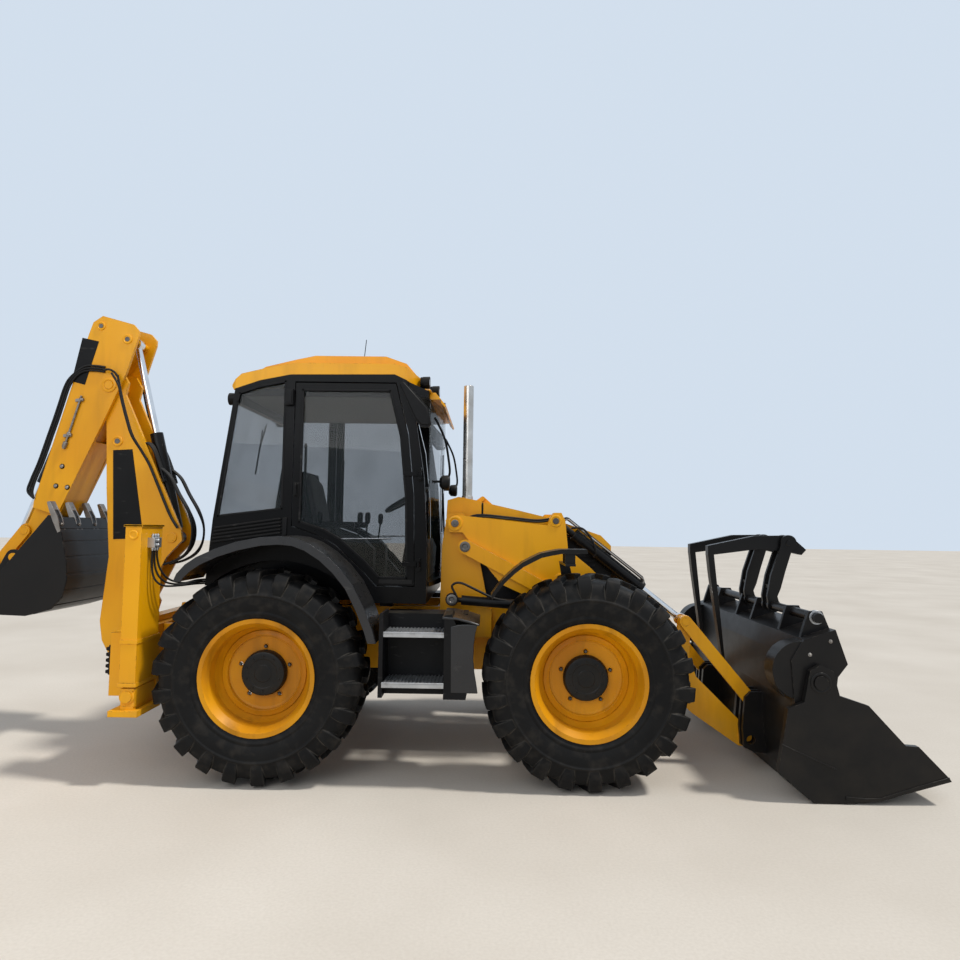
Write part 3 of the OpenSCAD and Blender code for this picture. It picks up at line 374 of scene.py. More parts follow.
class Piece:
    """Collects simple forms into one mesh that rides on one body."""

    def __init__(self, name, body, material, slot):
        self.name = name
        self.body = body
        self.material = material
        self.slot = slot
        self.bm = bmesh.new()

    def _frame(self, p, q):
        z = (q - p).normalized()
        x = Vector((0, 1, 0)) if abs(z.y) < 0.9 else Vector((1, 0, 0))
        y = z.cross(x).normalized()
        x = y.cross(z)
        return Matrix((x, y, z)).transposed().to_4x4()

    def revolve(self, p, q, profile, steps=32, close=False):
        """profile rows are (mm along p to q, radius in mm)"""
        turn = Matrix.Translation(p) @ self._frame(p, q)
        rings = []
        for along, radius in profile:
            ring = []
            for i in range(steps):
                a = 2 * math.pi * i / steps
                v = Vector((radius * MM * math.cos(a), radius * MM * math.sin(a), along * MM))
                ring.append(self.bm.verts.new(turn @ v))
            rings.append(ring)
        pairs = list(zip(rings, rings[1:] + rings[:1])) if close else list(zip(rings, rings[1:]))
        for a, b in pairs:
            for i in range(steps):
                j = (i + 1) % steps
                self.bm.faces.new((a[i], a[j], b[j], b[i]))
        if not close:
            self.bm.faces.new(rings[0][::-1])
            self.bm.faces.new(rings[-1])
        return self

    def rod(self, p, q, radius, steps=20):
        length = (q - p).length / MM
        return self.revolve(p, q, [(0, radius), (length, radius)], steps)

    def bolt(self, p, direction, size=12, height=8, washer=True):
        """hexagon head on a washer"""
        d = Vector(direction).normalized()
        base = p
        if washer:
            self.revolve(base, base + d, [(-2, size * 1.45), (2, size * 1.45)], 16)
            base = base + d * 2 * MM
        self.revolve(base, base + d, [(-1, size), (height * 0.8, size), (height, size * 0.8)], 6)
        return self

    def boss(self, p, direction, radius, height, hole=0.45):
        """round collar with a sunk centre, as on a pin's end"""
        d = Vector(direction).normalized()
        return self.revolve(p, p + d, [
            (-3, radius), (height * 0.75, radius), (height, radius * 0.86),
            (height, radius * (hole + 0.12)), (height * 0.4, radius * hole), (height * 0.4, 1)], 28)

    def prism(self, outline, y0, y1):
        """side outline of (x, z) rows, from y0 to y1"""
        near = [self.bm.verts.new(at(x, y0, z)) for x, z in outline]
        far = [self.bm.verts.new(at(x, y1, z)) for x, z in outline]
        self.bm.faces.new(near)
        self.bm.faces.new(far[::-1])
        for i in range(len(near)):
            j = (i + 1) % len(near)
            self.bm.faces.new((near[j], near[i], far[i], far[j]))
        return self

    def brick(self, low, high):
        (x0, y0, z0), (x1, y1, z1) = low, high
        return self.prism([(x0, z0), (x1, z0), (x1, z1), (x0, z1)], y0, y1)

    def band(self, centre_line, y0, y1, thick):
        """curved strip of the given thickness whose middle follows (x, z) rows"""
        upper, lower = [], []
        for i, (x, z) in enumerate(centre_line):
            a = centre_line[max(i - 1, 0)]
            b = centre_line[min(i + 1, len(centre_line) - 1)]
            run = math.hypot(b[0] - a[0], b[1] - a[1])
            nx, nz = -(b[1] - a[1]) / run, (b[0] - a[0]) / run
            upper.append((x + nx * thick / 2, z + nz * thick / 2))
            lower.append((x - nx * thick / 2, z - nz * thick / 2))
        return self.prism(upper + lower[::-1], y0, y1)

    def done(self, bevel=1.5, angle=35):
        bmesh.ops.recalc_face_normals(self.bm, faces=self.bm.faces)
        mesh = bpy.data.meshes.new(self.name)
        self.bm.to_mesh(mesh)
        self.bm.free()
        mesh.materials.append(self.material)
        obj = show(self.name, mesh)
        for face in mesh.polygons:
            face.use_smooth = True
        mesh.set_sharp_from_angle(angle=math.radians(angle))
        if bevel:
            mod = obj.modifiers.new("edge", "BEVEL")
            mod.width = bevel * MM
            mod.segments = 2
            mod.limit_method = "ANGLE"
            mod.angle_limit = math.radians(angle)
            mod.harden_normals = False
        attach(obj, self.body)
        return obj


def smooth_path(points, per_span=6):
    """points joined by a smooth line through each of them"""
    pts = [points[0]] + list(points) + [points[-1]]
    out = []
    for i in range(1, len(pts) - 2):
        a, b, c, d = pts[i - 1:i + 3]
        for k in range(per_span):
            t = k / per_span
            out.append(0.5 * (2 * b + (c - a) * t + (2 * a - 5 * b + 4 * c - d) * t * t
                              + (3 * b - a - 3 * c + d) * t ** 3))
    out.append(points[-1])
    return out


def pipe(name, body, rows, radius, material=None, smooth=True, per_span=6):
    """hose or pipe along rows of machine places"""
    points = [at(*row) for row in rows]
    if smooth:
        points = smooth_path(points, per_span)
    curve = bpy.data.curves.new(name, "CURVE")
    curve.dimensions = "3D"
    curve.bevel_depth = radius * MM
    curve.bevel_resolution = 3
    curve.use_fill_caps = True
    spline = curve.splines.new("POLY")
    spline.points.add(len(points) - 1)
    for point, v in zip(spline.points, points):
        point.co = (*v, 1)
    curve.materials.append(material or HOSE)
    obj = show(name, curve)
    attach(obj, body)
    return obj


# Wheels

def tyre(key, x, side):
    """Tyre with a rounded carcass, rings on its sidewalls, and lugs that run over the shoulder."""
    centre = at(x, side * TRACK_HALF, AXLE_Z)
    body_r = TYRE_R - 38
    w = TYRE_HALF_W
    half = [
        (0, body_r), (70, body_r - 1), (130, body_r - 6), (165, body_r - 18), (186, body_r - 38),
        (198, body_r - 66), (205, body_r - 98), (207, body_r - 118), (214.5, body_r - 126),
        (214.5, body_r - 134), (208, body_r - 141), (208, body_r - 180), (202, RIM_R + 70),
        (194, RIM_R + 48), (197, RIM_R + 42),
        (197, RIM_R + 30), (190, RIM_R + 22), (182, RIM_R - 2), (150, RIM_R - 6),
    ]
    piece = Piece("tread_" + key, "wheel_" + key, TYRE, "tyre")
    outline = [(-a, r) for a, r in reversed(half[1:])] + half
    piece.revolve(centre, centre + Vector((0, side, 0)), outline, 96, close=True)
    # rows: share of the half width, place along the tread, half length, top radius, foot radius
    stations = [
        (-0.06, -40, 22, TYRE_R - 0.5, body_r - 8), (0.2, -26, 24, TYRE_R - 0.5, body_r - 8),
        (0.46, 2, 27, TYRE_R - 2, body_r - 12), (0.68, 30, 36, TYRE_R - 7, body_r - 24),
        (0.85, 40, 46, TYRE_R - 15, body_r - 44), (0.94, 40, 48, TYRE_R - 33, body_r - 60),
        (0.975, 40, 45, TYRE_R - 92, body_r - 100), (0.982, 38, 36, TYRE_R - 150, body_r - 150),
    ]
    for i in range(LUG_COUNT):
        for hand in SIDES:
            turn = 2 * math.pi * (i + (0.5 if hand < 0 else 0)) / LUG_COUNT
            rings = []
            for share, along, reach, top, foot in stations:
                ring = []
                for radius, edge in (
                        (foot, -reach * 1.2), (top, -reach), (top, reach), (foot, reach * 1.2)):
                    a = turn + (along + edge) / TYRE_R
                    sink = 16 if radius == foot and share > 0.8 else 0
                    y = hand * (share * w - sink)
                    ring.append(piece.bm.verts.new(centre + Vector((
                        radius * MM * math.cos(a), y * MM, radius * MM * math.sin(a)))))
                rings.append(ring)
            for a, b in zip(rings, rings[1:]):
                for k in range(3):
                    piece.bm.faces.new((a[k], a[k + 1], b[k + 1], b[k]))
            piece.bm.faces.new(rings[0])
            piece.bm.faces.new(rings[-1])
    obj = piece.done(4, 40)
    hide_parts("tyre_" + key)


def wheel_trim(key, x, side):
    """Hub, wheel nuts and the rolled steps of the rim."""
    centre = at(x, side * TRACK_HALF, AXLE_Z)
    out = Vector((0, side, 0))
    hub = Piece("hub_" + key, "wheel_" + key, HUB_BLACK, "black_paint")
    hub.revolve(centre, centre + out, [
        (-20, 156), (4, 156), (10, 153), (30, 150), (37, 145), (40, 136),
        (40, 100), (37, 96), (37, 60), (40, 56), (41, 2)], 48)
    for i in range(HUB_BOLTS):
        a = 2 * math.pi * (i + 0.5) / HUB_BOLTS
        spot = centre + Vector((118 * MM * math.cos(a), side * 40 * MM, 118 * MM * math.sin(a)))
        hub.bolt(spot, out, 8, 6, False)
    hub.done(2)
    nuts = Piece("wheel_nuts_" + key, "wheel_" + key, IRON, "engine_iron")
    rings = Piece("wheel_rings_" + key, "wheel_" + key, RIM_YELLOW, "yellow")
    for i in range(WHEEL_NUTS):
        a = math.radians(18 + 360 / WHEEL_NUTS * i)
        spot = centre + Vector((178 * MM * math.cos(a), -side * 17 * MM, 178 * MM * math.sin(a)))
        nuts.bolt(spot, out, 11, 17, False)
        rings.revolve(spot, spot + out, [(0, 14.2), (0, 21), (4, 20), (5, 14.2)], 24, close=True)
    barrel_step = [(104, 352), (104, 345), (96, 341), (86, 341), (80, 346)]
    disc_step = [(8, 292), (12, 262), (16, 255), (4, 250), (-12, 250), (-14, 292)]
    for rolled in (barrel_step, disc_step):
        rings.revolve(centre, centre + out, rolled, 64, close=True)
    nuts.done(1)
    rings.done(2)


# Cab

QUARTER = [(-456, 1795), (-342, 2650), (-325, 2716), (-175, 2767), (20, 2808), (20, 1856)]
DOOR_PANE = [
    (146, 1762), (146, 2745), (798, 2745), (884, 2408), (932, 1950), (947, 1362), (742, 1362),
    (637, 1478),
    (448, 1638), (328, 1704)]


def seal(piece, outline, side):
    """rubber strip along the edge of a pane"""
    y0, y1 = span(side, CAB_FACE_Y - 9, CAB_FACE_Y + 7)
    mid = [sum(p[k] for p in outline) / len(outline) for k in (0, 1)]
    loop = outline + outline[:1]
    for a, b in zip(loop, loop[1:]):
        run = math.hypot(b[0] - a[0], b[1] - a[1])
        n = ((b[1] - a[1]) / run, -(b[0] - a[0]) / run)
        if (mid[0] - a[0]) * n[0] + (mid[1] - a[1]) * n[1] < 0:
            n = (-n[0], -n[1])
        u = ((b[0] - a[0]) / run * 4, (b[1] - a[1]) / run * 4)
        start = (a[0] - u[0], a[1] - u[1])
        end = (b[0] + u[0], b[1] + u[1])
        piece.prism([
            (start[0] - n[0] * 4, start[1] - n[1] * 4), (end[0] - n[0] * 4, end[1] - n[1] * 4),
            (end[0] + n[0] * 11, end[1] + n[1] * 11), (start[0] + n[0] * 11, start[1] + n[1] * 11)],
            y0, y1)


def cab():
    """Louvres, seals, lamps, mirrors, door fittings, antenna and wipers."""
    louvres = Piece("cab_louvres", "chassis", DARK_PLASTIC, "plastic")
    seals = Piece("quarter_seals", "chassis", DARK_PLASTIC, "plastic")
    for side in SIDES:
        for i in range(LOUVRES):
            drop = i * 26
            louvres.prism([
                (-470 - i * 5, 1718 - drop), (0, 1790 - drop), (16, 1786 - drop), (16, 1777 - drop),
                (-470 - i * 5, 1703 - drop)], *span(side, CAB_FACE_Y, CAB_FACE_Y + 22))
        louvres.prism([(26, 1790), (60, 1794), (60, 1668), (26, 1650)],
                      *span(side, CAB_FACE_Y, CAB_FACE_Y + 16))
        seal(seals, QUARTER, side)
    louvres.done(3)
    seals.done(1.5)

    lamps = Piece("lamp_bezels", "chassis", DARK_PLASTIC, "plastic")
    glasses = Piece("lamp_glasses", "chassis", LAMP, "glass")
    markers = Piece("marker_lenses", "chassis", DARK_PLASTIC, "plastic")
    for side in SIDES:
        tag = TAGS[side]
        for x, y, z, way in ((1068, 585, 2836, 1), (1126, 380, 2806, 1), (-440, 600, 2690, -1)):
            p = at(x, side * y, z)
            q = p + Vector((way, 0, 0))
            lamps.revolve(p, q, [
                (-46, 42), (-46, 45), (3, 47), (9, 46), (9, 38), (0, 36), (-4, 42)], 32, close=True)
            for k in range(7):
                fin = k * 2.2
                lamps.revolve(
                    p, q, [(-62 + fin, 30), (-61 + fin, 43.5), (-60 + fin, 30)], 24, close=True)
            glasses.revolve(p, q, [(-1, 37), (5, 36), (8, 26), (10, 2)], 32)
        markers.prism([(34, 2732), (76, 2730), (76, 2636), (38, 2634)], *span(side, 777, 784))
        mirror = Piece("mirror_back_" + tag, "chassis", DARK_PLASTIC, "plastic")
        mirror.prism([
            (868, 2788), (900, 2803), (1078, 2608), (1101, 2490), (1088, 2476), (1036, 2480),
            (992, 2528)], *span(side, 760, 802))
        mirror.rod(at(985, side * 738, 2580), at(985, side * 764, 2580), 20)
        mirror.done(10)
        glassy = Piece("mirror_glass_" + tag, "chassis", MIRROR, "glass")
        glassy.prism([
            (880, 2776), (904, 2788), (1066, 2604), (1088, 2492), (1078, 2486), (1040, 2490),
            (1000, 2534)], *span(side, 757.5, 763))
        glassy.done(1)
        pipe("screen_bar_" + tag, "chassis", [
            (1120, side * 640, 2560), (1139, side * 640, 2531), (1200, side * 640, 2400),
            (1230, side * 636, 2255), (1240, side * 628, 2139), (1205, side * 618, 2085),
            (1150, side * 610, 2080), (1108, side * 610, 2080)], 9, CAB_BLACK)
        knob = Piece("screen_lamp_" + tag, "chassis", DARK_PLASTIC, "plastic")
        knob.revolve(at(1165, side * 610, 2074), at(1235, side * 610, 2074), [
            (0, 30), (20, 52), (60, 55), (72, 50), (78, 38), (78, 2)], 28)
        knob.done(2)
    lamps.done(1.5)
    glasses.done(0)
    markers.done(1.5)

    for tag, body, side in (("l", "door_left", 1), ("r", "door_right", -1)):
        trim = Piece("door_seal_" + tag, body, DARK_PLASTIC, "plastic")
        seal(trim, DOOR_PANE, side)
        trim.done(1.5)
        handle = Piece("door_handle_" + tag, body, DARK_PLASTIC, "plastic")
        handle.prism([(100, 1950), (143, 1945), (143, 2052), (100, 2055)], *span(side, 738, 750))
        handle.rod(at(120, side * 768, 1956), at(120, side * 768, 2046), 8)
        for z in (1962, 2040):
            handle.rod(at(120, side * 745, z), at(120, side * 770, z), 8)
        handle.done(2)
        strip = Piece("door_strip_" + tag, body, BLACK, "black_paint")
        strip.prism([(742, 1322), (985, 1322), (985, 1352), (746, 1352)], *span(side, 739, 742))
        strip.done(0.8)
        pipe("door_rail_" + tag, body, [
            (165, side * 690, 1790), (165, side * 676, 1810), (165, side * 676, 2300),
            (165, side * 690, 2320)], 10, DARK_PLASTIC)
        pipe("door_strut_" + tag, body, [(420, side * 684, 1640), (820, side * 684, 1650)],
             8, CHROME, False)

    pipe("antenna", "chassis", [(512, -300, 3020), (518, -300, 3100), (531, -300, 3239)], 3, CAB_BLACK)
    cap = Piece("antenna_base", "chassis", DARK_PLASTIC, "plastic")
    cap.revolve(at(512, -300, 3026), at(512, -300, 3090), [(0, 20), (24, 18), (46, 8), (64, 4)], 20)
    cap.done(1)
    wipers = Piece("wiper_blades", "chassis", DARK_PLASTIC, "plastic")
    wipers.prism([(1157, 1700), (1166, 1700), (1166, 2320), (1157, 2320)], -212, -196)
    wipers.rod(at(1165, -204, 2010), at(1186, -90, 1420), 7)
    wipers.rod(at(1150, -90, 1400), at(1192, -90, 1400), 16)
    wipers.prism([(-392, 2540), (-402, 2540), (-452, 2160), (-442, 2160)], 30, 44)
    wipers.rod(at(-425, 36, 2350), at(-400, 140, 2600), 6)
    wipers.done(1.5)


def inside():
    """What shows through the glass: levers, dashboard, floor mat and headlining."""
    grips = Piece("levers", "chassis", DARK_PLASTIC, "plastic")
    for y in (-330, 330):
        grips.prism([(120, 1215), (640, 1215), (640, 1560), (560, 1640), (120, 1600)], y - 70, y + 70)
    for x, y in ((560, -330), (500, -330), (560, 330), (180, 330), (180, -330)):
        grips.rod(at(x, y, 1590), at(x + 20, y, 1760), 7)
        grips.revolve(at(x + 20, y, 1750), at(x + 22, y, 1850), [
            (0, 10), (20, 20), (60, 23), (90, 19), (98, 8)], 16)
    grips.done(6)
    dash = Piece("dashboard", "chassis", DARK_PLASTIC, "plastic")
    dash.prism([(965, 1215), (1050, 1215), (1066, 1560), (1030, 1640), (965, 1600)], -520, 520)
    dash.prism([(880, 1905), (965, 1905), (1010, 1960), (1000, 2050), (930, 2010)], -130, 130)
    dash.done(10)
    mat = Piece("floor_mat", "chassis", HOSE, "plastic")
    mat.brick((520, -540, 1209), (960, 540, 1222))
    for i in range(11):
        mat.brick((535 + 38 * i, -520, 1220), (550 + 38 * i, 520, 1227))
    mat.done(1)
    lining = Piece("headlining", "chassis", SEAT, "plastic")
    lining.prism([
        (-330, 2700), (-330, 2722), (-150, 2760), (840, 2790), (860, 2720), (840, 2700)], -690, 690)
    lining.done(8)


def seat():
    """Seat on the CAD seat base: crowned cushion, back and armrests."""
    def pad(name, low, high, lean):
        bm = bmesh.new()
        bmesh.ops.create_cube(bm, size=1)
        bmesh.ops.subdivide_edges(bm, edges=bm.edges, cuts=5, use_grid_fill=True)
        size = [(b - a) for a, b in zip(low, high)]
        mid = [(b + a) / 2 for a, b in zip(low, high)]
        for v in bm.verts:
            u, w, t = v.co * 2
            crown = (1 - u * u) * (1 - w * w)
            side_pull = 1 - 0.06 * t * t
            x = mid[0] + u * size[0] / 2 * side_pull
            y = mid[1] + w * size[1] / 2 * side_pull
            z = mid[2] + t * size[2] / 2 * (0.72 + 0.28 * crown)
            v.co = at(x + lean * (z - low[2]), y, z)
        mesh = bpy.data.meshes.new(name)
        bm.to_mesh(mesh)
        bm.free()
        mesh.materials.append(SEAT)
        for face in mesh.polygons:
            face.use_smooth = True
        obj = show(name, mesh)
        mod = obj.modifiers.new("round", "SUBSURF")
        mod.levels = mod.render_levels = 1
        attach(obj, "chassis")
    pad("seat_cushion", (70, -250, 1515), (530, 250, 1610), 0)
    pad("seat_back", (88, -235, 1600), (196, 235, 2180), -0.21)
    for side in SIDES:
        rest = Piece("armrest_" + TAGS[side], "chassis", DARK_PLASTIC, "plastic")
        for x1, y_out, z0, z1 in ((470, 330, 1720, 1770), (210, 285, 1500, 1725)):
            lo, hi = span(side, 265, y_out)
            rest.brick((150, lo, z0), (x1, hi, z1))
        rest.done(12)


# Hood and front

def hood_trim():
    """The exhaust stack's steel sleeve, the seal behind the hood and the hood's seams."""
    stack = Piece("exhaust_sleeve", "chassis", STAINLESS, "chrome")
    stack.revolve(at(1365, -290, 1955), at(1365, -290, 2872), [
        (0, 44), (30, 44), (34, 39.5), (890, 39.5), (916, 39.5), (916, 34.5), (880, 34.5)], 36)
    stack.done(0)
    seam = Piece("cowl_seal", "chassis", DARK_PLASTIC, "plastic")
    seam.band([(1488, 1935), (1488, 1806)], -338, 338, 9)
    seam.done(1)
    lines = Piece("hood_seams", "hood", DARK_PLASTIC, "plastic")
    for side in SIDES:
        y0, y1 = span(side, 339, 341.5)
        lines.band([(1500, 1806), (2022, 1738), (2400, 1606)], y0, y1, 9)
    lines.done(0)


# Loader

TILT_RAM = ((2067, 1795), (3020, 1058))
CLAM_PIN = (3708, 765)
FORK_SHAFT = (3750, 1168)


def loader():
    """Pin ends, bosses, pipes and hoses of the loader arms and their rams."""
    steel = Piece("loader_pin_ends", "arms", PIN, "engine_iron")
    caps = Piece("loader_bosses", "arms", YELLOW, "yellow")
    for side in SIDES:
        out = (0, side, 0)
        face = side * 495
        for x, z, r in ((1280, 1768, 58), (3480, 215, 60)):
            caps.boss(at(x, face, z), out, r, 10, 0.62)
        for x, z in ((2052, 1796), (2090, 1353), (2995, 795)):
            caps.boss(at(x, face, z), out, 46, 7, 0.62)
            steel.revolve(at(x, face, z), at(x, face + side * 10, z), [(0, 24), (9, 24), (9, 2)], 24)
        steel.bolt(at(1280, face + side * 6, 1768), out, 13, 9)
    caps.done(1.5)
    steel.done(1)

    tower = Piece("tower_bosses", "chassis", PIN, "engine_iron")
    for side in SIDES:
        out = (0, side, 0)
        tower.boss(at(1280, side * 503, 1768), out, 29, 6, 0.3)
        tower.boss(at(1360, side * 524, 1592), out, 40, 6, 0.45)
        tower.boss(at(1270, side * 603, 1199), out, 40, 8, 0.4)
    tower.done(1)

    for side in SIDES:
        tag = TAGS[side]
        for k in range(2):
            pipe(f"arm_hose_{tag}_{k}", "arms", [
                (x, side * (y - 12 * k), z + 14 * k) for x, y, z in (
                    (1330, 430, 1770), (1450, 436, 1822), (1700, 440, 1806), (1900, 440, 1788),
                    (2010, 436, 1800))], ARM_HOSE_R)
        for k in range(4):
            y = side * (374 + 25 * k)
            rise = (6, 14, 14, 2)[k]
            bright = k in (1, 3)
            pipe(f"tilt_pipe_{tag}_{k}", "tilt_barrels", [
                (2120, y, 1800 + rise), (2150, y, 1806 + rise), (2210, y, 1762 + rise),
                (2600, y, 1460 + rise), (2700, y, 1382 + rise), (2730, y, 1352 + rise),
                (2722, y, 1320)], RAM_PIPE_R,
                STEEL if bright else HOSE, True, 4)
        pipe(f"tilt_hose_{tag}", "tilt_barrels", [
            (2175, side * 455, 1745), (2260, side * 470, 1740), (2330, side * 470, 1660),
            (2365, side * 462, 1560), (2350, side * 440, 1525)], HOSE_R)
        pipe(f"lift_hose_{tag}", "lift_barrels", [
            (1300, side * 590, 1236), (1270, side * 592, 1300), (1330, side * 592, 1325),
            (1450, side * 592, 1275), (1580, side * 588, 1215), (1680, side * 580, 1195)], HOSE_R)
    rings = Piece("ram_glands", "tilt_barrels", BLACK, "black_paint")
    (foot_x, foot_z), (eye_x, eye_z) = TILT_RAM
    u = (Vector((eye_x, 0, eye_z)) - Vector((foot_x, 0, foot_z))).normalized()
    for side in SIDES:
        for along, r, w in ((800, 56, 34), (240, 54, 26), (175, 55, 20)):
            p = at(foot_x + u.x * along, side * 412, foot_z + u.z * along)
            rings.revolve(
                p, p + u, [(-w / 2, 50), (-w / 2, r), (w / 2, r), (w / 2, 50)], 28, close=True)
    rings.done(1.5)


def shovel():
    """Round guards, the fork shaft's collars, bolts, cutting edge and weld beads."""
    guard = Piece("shovel_guard", "shovel", SHOVEL_BLACK, "black_paint")
    for side in SIDES:
        turns = [math.radians(52 + 15 * i) for i in range(13)]
        arc = [(3620 + 192 * math.cos(a), 815 + 196 * math.sin(a)) for a in turns]
        guard.band(arc, *span(side, 1042, 1158), 8)
    guard.done(2)
    shaft = Piece("fork_shaft_collars", "shovel", GALVANISED, "chrome")
    for side in SIDES:
        x, z = FORK_SHAFT
        shaft.revolve(at(x, side * 1085, z), at(x, side * 1090, z), [
            (-30, 33.2), (-30, 48), (0, 48), (0, 33.2)], 28, close=True)
    shaft.done(1.5)
    bolts = Piece("shovel_bolts", "shovel", STEEL, "chrome")
    for side in SIDES:
        out = (0, side, 0)
        for x, z in ((3663, 936), (3800, 1024)):
            bolts.bolt(at(x, side * 1170, z), out, 9, 8)
        bolts.boss(at(CLAM_PIN[0], side * 1231, CLAM_PIN[1]), out, 40, 0.6, 0.5)
    bolts.done(1)
    edge = Piece("cutting_edges", "clam", STEEL, "chrome")
    edge.prism([(4443, 129), (4529, 154), (4532, 146), (4440, 118)], -1195, 1195)
    edge.done(1)
    beads = Piece("clam_beads", "clam", SHOVEL_BLACK, "black_paint")
    for side in SIDES:
        y0, y1 = span(side, SHOVEL_FACE_Y, SHOVEL_FACE_Y + 7)
        beads.band([(3448, 371), (3600, 304), (3794, 221)], y0, y1, 8)
        beads.band([(3853, 40), (3990, 30), (4080, 36), (4300, 106), (4520, 172)], y0, y1, 24)
        beads.boss(at(CLAM_PIN[0], side * SHOVEL_FACE_Y, CLAM_PIN[1]), (0, side, 0), 68, 8, 0.68)
    beads.done(2)


# Digging arm

TEETH = 4


def digger():
    """Blank panels, bosses, hoses and clamps of the digging arm, and the bucket's wear parts."""
    panel = Piece("boom_panel", "boom", DARK_PLASTIC, "plastic")
    for side in SIDES:
        panel.prism([(-1581, 2335), (-1420, 2345), (-1296, 1612), (-1545, 1600)],
                    *span(side, BOOM_FACE_Y - 0.5, BOOM_FACE_Y + 2))
    panel.done(0)
    inset = Piece("dipper_panel", "dipper", DARK_PLASTIC, "plastic")
    for side in SIDES:
        inset.prism([(-1862, 3268), (-1722, 3238), (-1822, 2872), (-1935, 2900)],
                    *span(side, DIPPER_FACE_Y, DIPPER_FACE_Y + 4))
    inset.done(0)

    for body, y, spots in (
        ("dipper", DIPPER_FACE_Y + 2, [(-1709, 3369, 36), (-1484, 3259, 40), (-1622, 2873, 62)]),
        ("boom", BOOM_FACE_Y, [(-1548, 2411, 44), (-1064, 1621, 44), (-1460, 760, 58)]),
    ):
        bosses = Piece(body + "_bosses", body, YELLOW, "yellow")
        ends = Piece(body + "_bosses_pins", body, PIN, "engine_iron")
        for side in SIDES:
            for x, z, r in spots:
                bosses.boss(at(x, side * y, z), (0, side, 0), r, 9, 0.6)
                ends.revolve(at(x, side * y, z), at(x, side * (y + 6), z), [
                    (0, r * 0.52), (7, r * 0.5), (7, 2)], 24)
        bosses.done(1.5)
        ends.done(1)

    for side in SIDES:
        tag = TAGS[side]
        for k in range(3):
            y = side * 178
            out = 20 * k
            over = [(-1655, 2980), (-1740, 2990), (-1830, 2982)]
            down = [(-1898, 2935), (-1945, 2850), (-1982, 2720), (-2018, 2590), (-2060, 2450),
                    (-2126, 2230), (-2182, 2080), (-2205, 1985)]
            pipe(f"dipper_hose_{tag}_{k}", "dipper", [(x, y, z + out) for x, z in over] + [
                (x - out, y, z) for x, z in down] + [(-2190, y, 1925)], HOSE_R)
        pipe(f"stay_pipe_{tag}", "dipper", [
            (-1839, side * 180, 2778), (-1900, side * 180, 2560), (-1960, side * 180, 2355)],
            HOSE_R, STEEL)
        for k in range(3):
            y = side * (86 + 17 * k)
            pipe(f"gap_hose_{tag}_{k}", "boom", [
                (-1335, y, 2396), (-1292, y, 2400 - 4 * k), (-1246, y, 2345 - 6 * k),
                (-1190, y, 2200), (-1150, y, 2080)], HOSE_R)
            pipe(f"elbow_hose_{tag}_{k}", "boom", [
                (-1182, y, 2190), (-1105, y, 2120), (-1030, y, 1985), (-948, y, 1850),
                (-892 - 6 * k, y, 1720), (-894 - 6 * k, y, 1590), (-950, y, 1490),
                (-1050, y, 1425), (-1170, y, 1392)], HOSE_R)
        for k in range(2):
            # wide of the dipper's head as it folds, then close to the boom
            wide = side * (204 + 20 * k)
            near = side * (140 + 13 * k)
            pipe(f"boom_hose_{tag}_{k}", "boom", [
                (-1536 - 40 * k, wide - side * 2, 2950 + 14 * k), (-1512, wide, 2860),
                (-1482, wide, 2740), (-1440, wide, 2600), (-1386, wide, 2450),
                (-1320, near + side * 22, 2320), (-1262, near, 2210), (-1180, near, 2030),
                (-1080, near, 1810), (-1010, near, 1700)], HOSE_R)
        pipe(f"bridge_hose_{tag}", "boom", [
            (-1652, side * 202, 2986), (-1610, side * 208, 2996), (-1562, side * 208, 2975),
            (-1536, side * 203, 2940)], HOSE_R)
    clamps = Piece("dipper_clamps", "dipper", STEEL, "chrome")
    for side in SIDES:
        for x, z in ((-1850, 2740), (-1935, 2445)):
            clamps.prism([(x - 34, z - 14), (x + 30, z - 6), (x + 30, z + 18), (x - 34, z + 10)],
                         *span(side, DIPPER_FACE_Y, 190))
            clamps.bolt(at(x + 14, side * 190, z + 4), (0, side, 0), 9, 7)
        clamps.revolve(at(-1926, side * 180, 2470), at(-1944, side * 180, 2410), [
            (-6, 9), (0, 16), (24, 17), (30, 12), (40, 12)], 12)
        clamps.revolve(at(-1948, side * 180, 2396), at(-1966, side * 180, 2336), [
            (0, 9), (6, 19), (44, 19), (52, 14), (62, 13), (62, 2)], 12)
        for x, z in ((-1977, 2192), (-2020, 2030), (-1925, 2020)):
            clamps.bolt(at(x, side * DIPPER_FACE_Y, z), (0, side, 0), 16, 12)
    clamps.done(2)

    plates = Piece("bucket_wear_plates", "digging_bucket", SHOVEL_BLACK, "black_paint")
    back = [(-1868, 1775), (-1820, 1650), (-1770, 1420), (-1760, 1280), (-1790, 1150),
            (-1870, 1060), (-2070, 1000)]

    def on_back(t):
        """place on the bucket's back, t counted in its corners"""
        i = min(int(t), len(back) - 2)
        f = t - i
        return tuple(back[i][k] * (1 - f) + back[i + 1][k] * f for k in (0, 1))

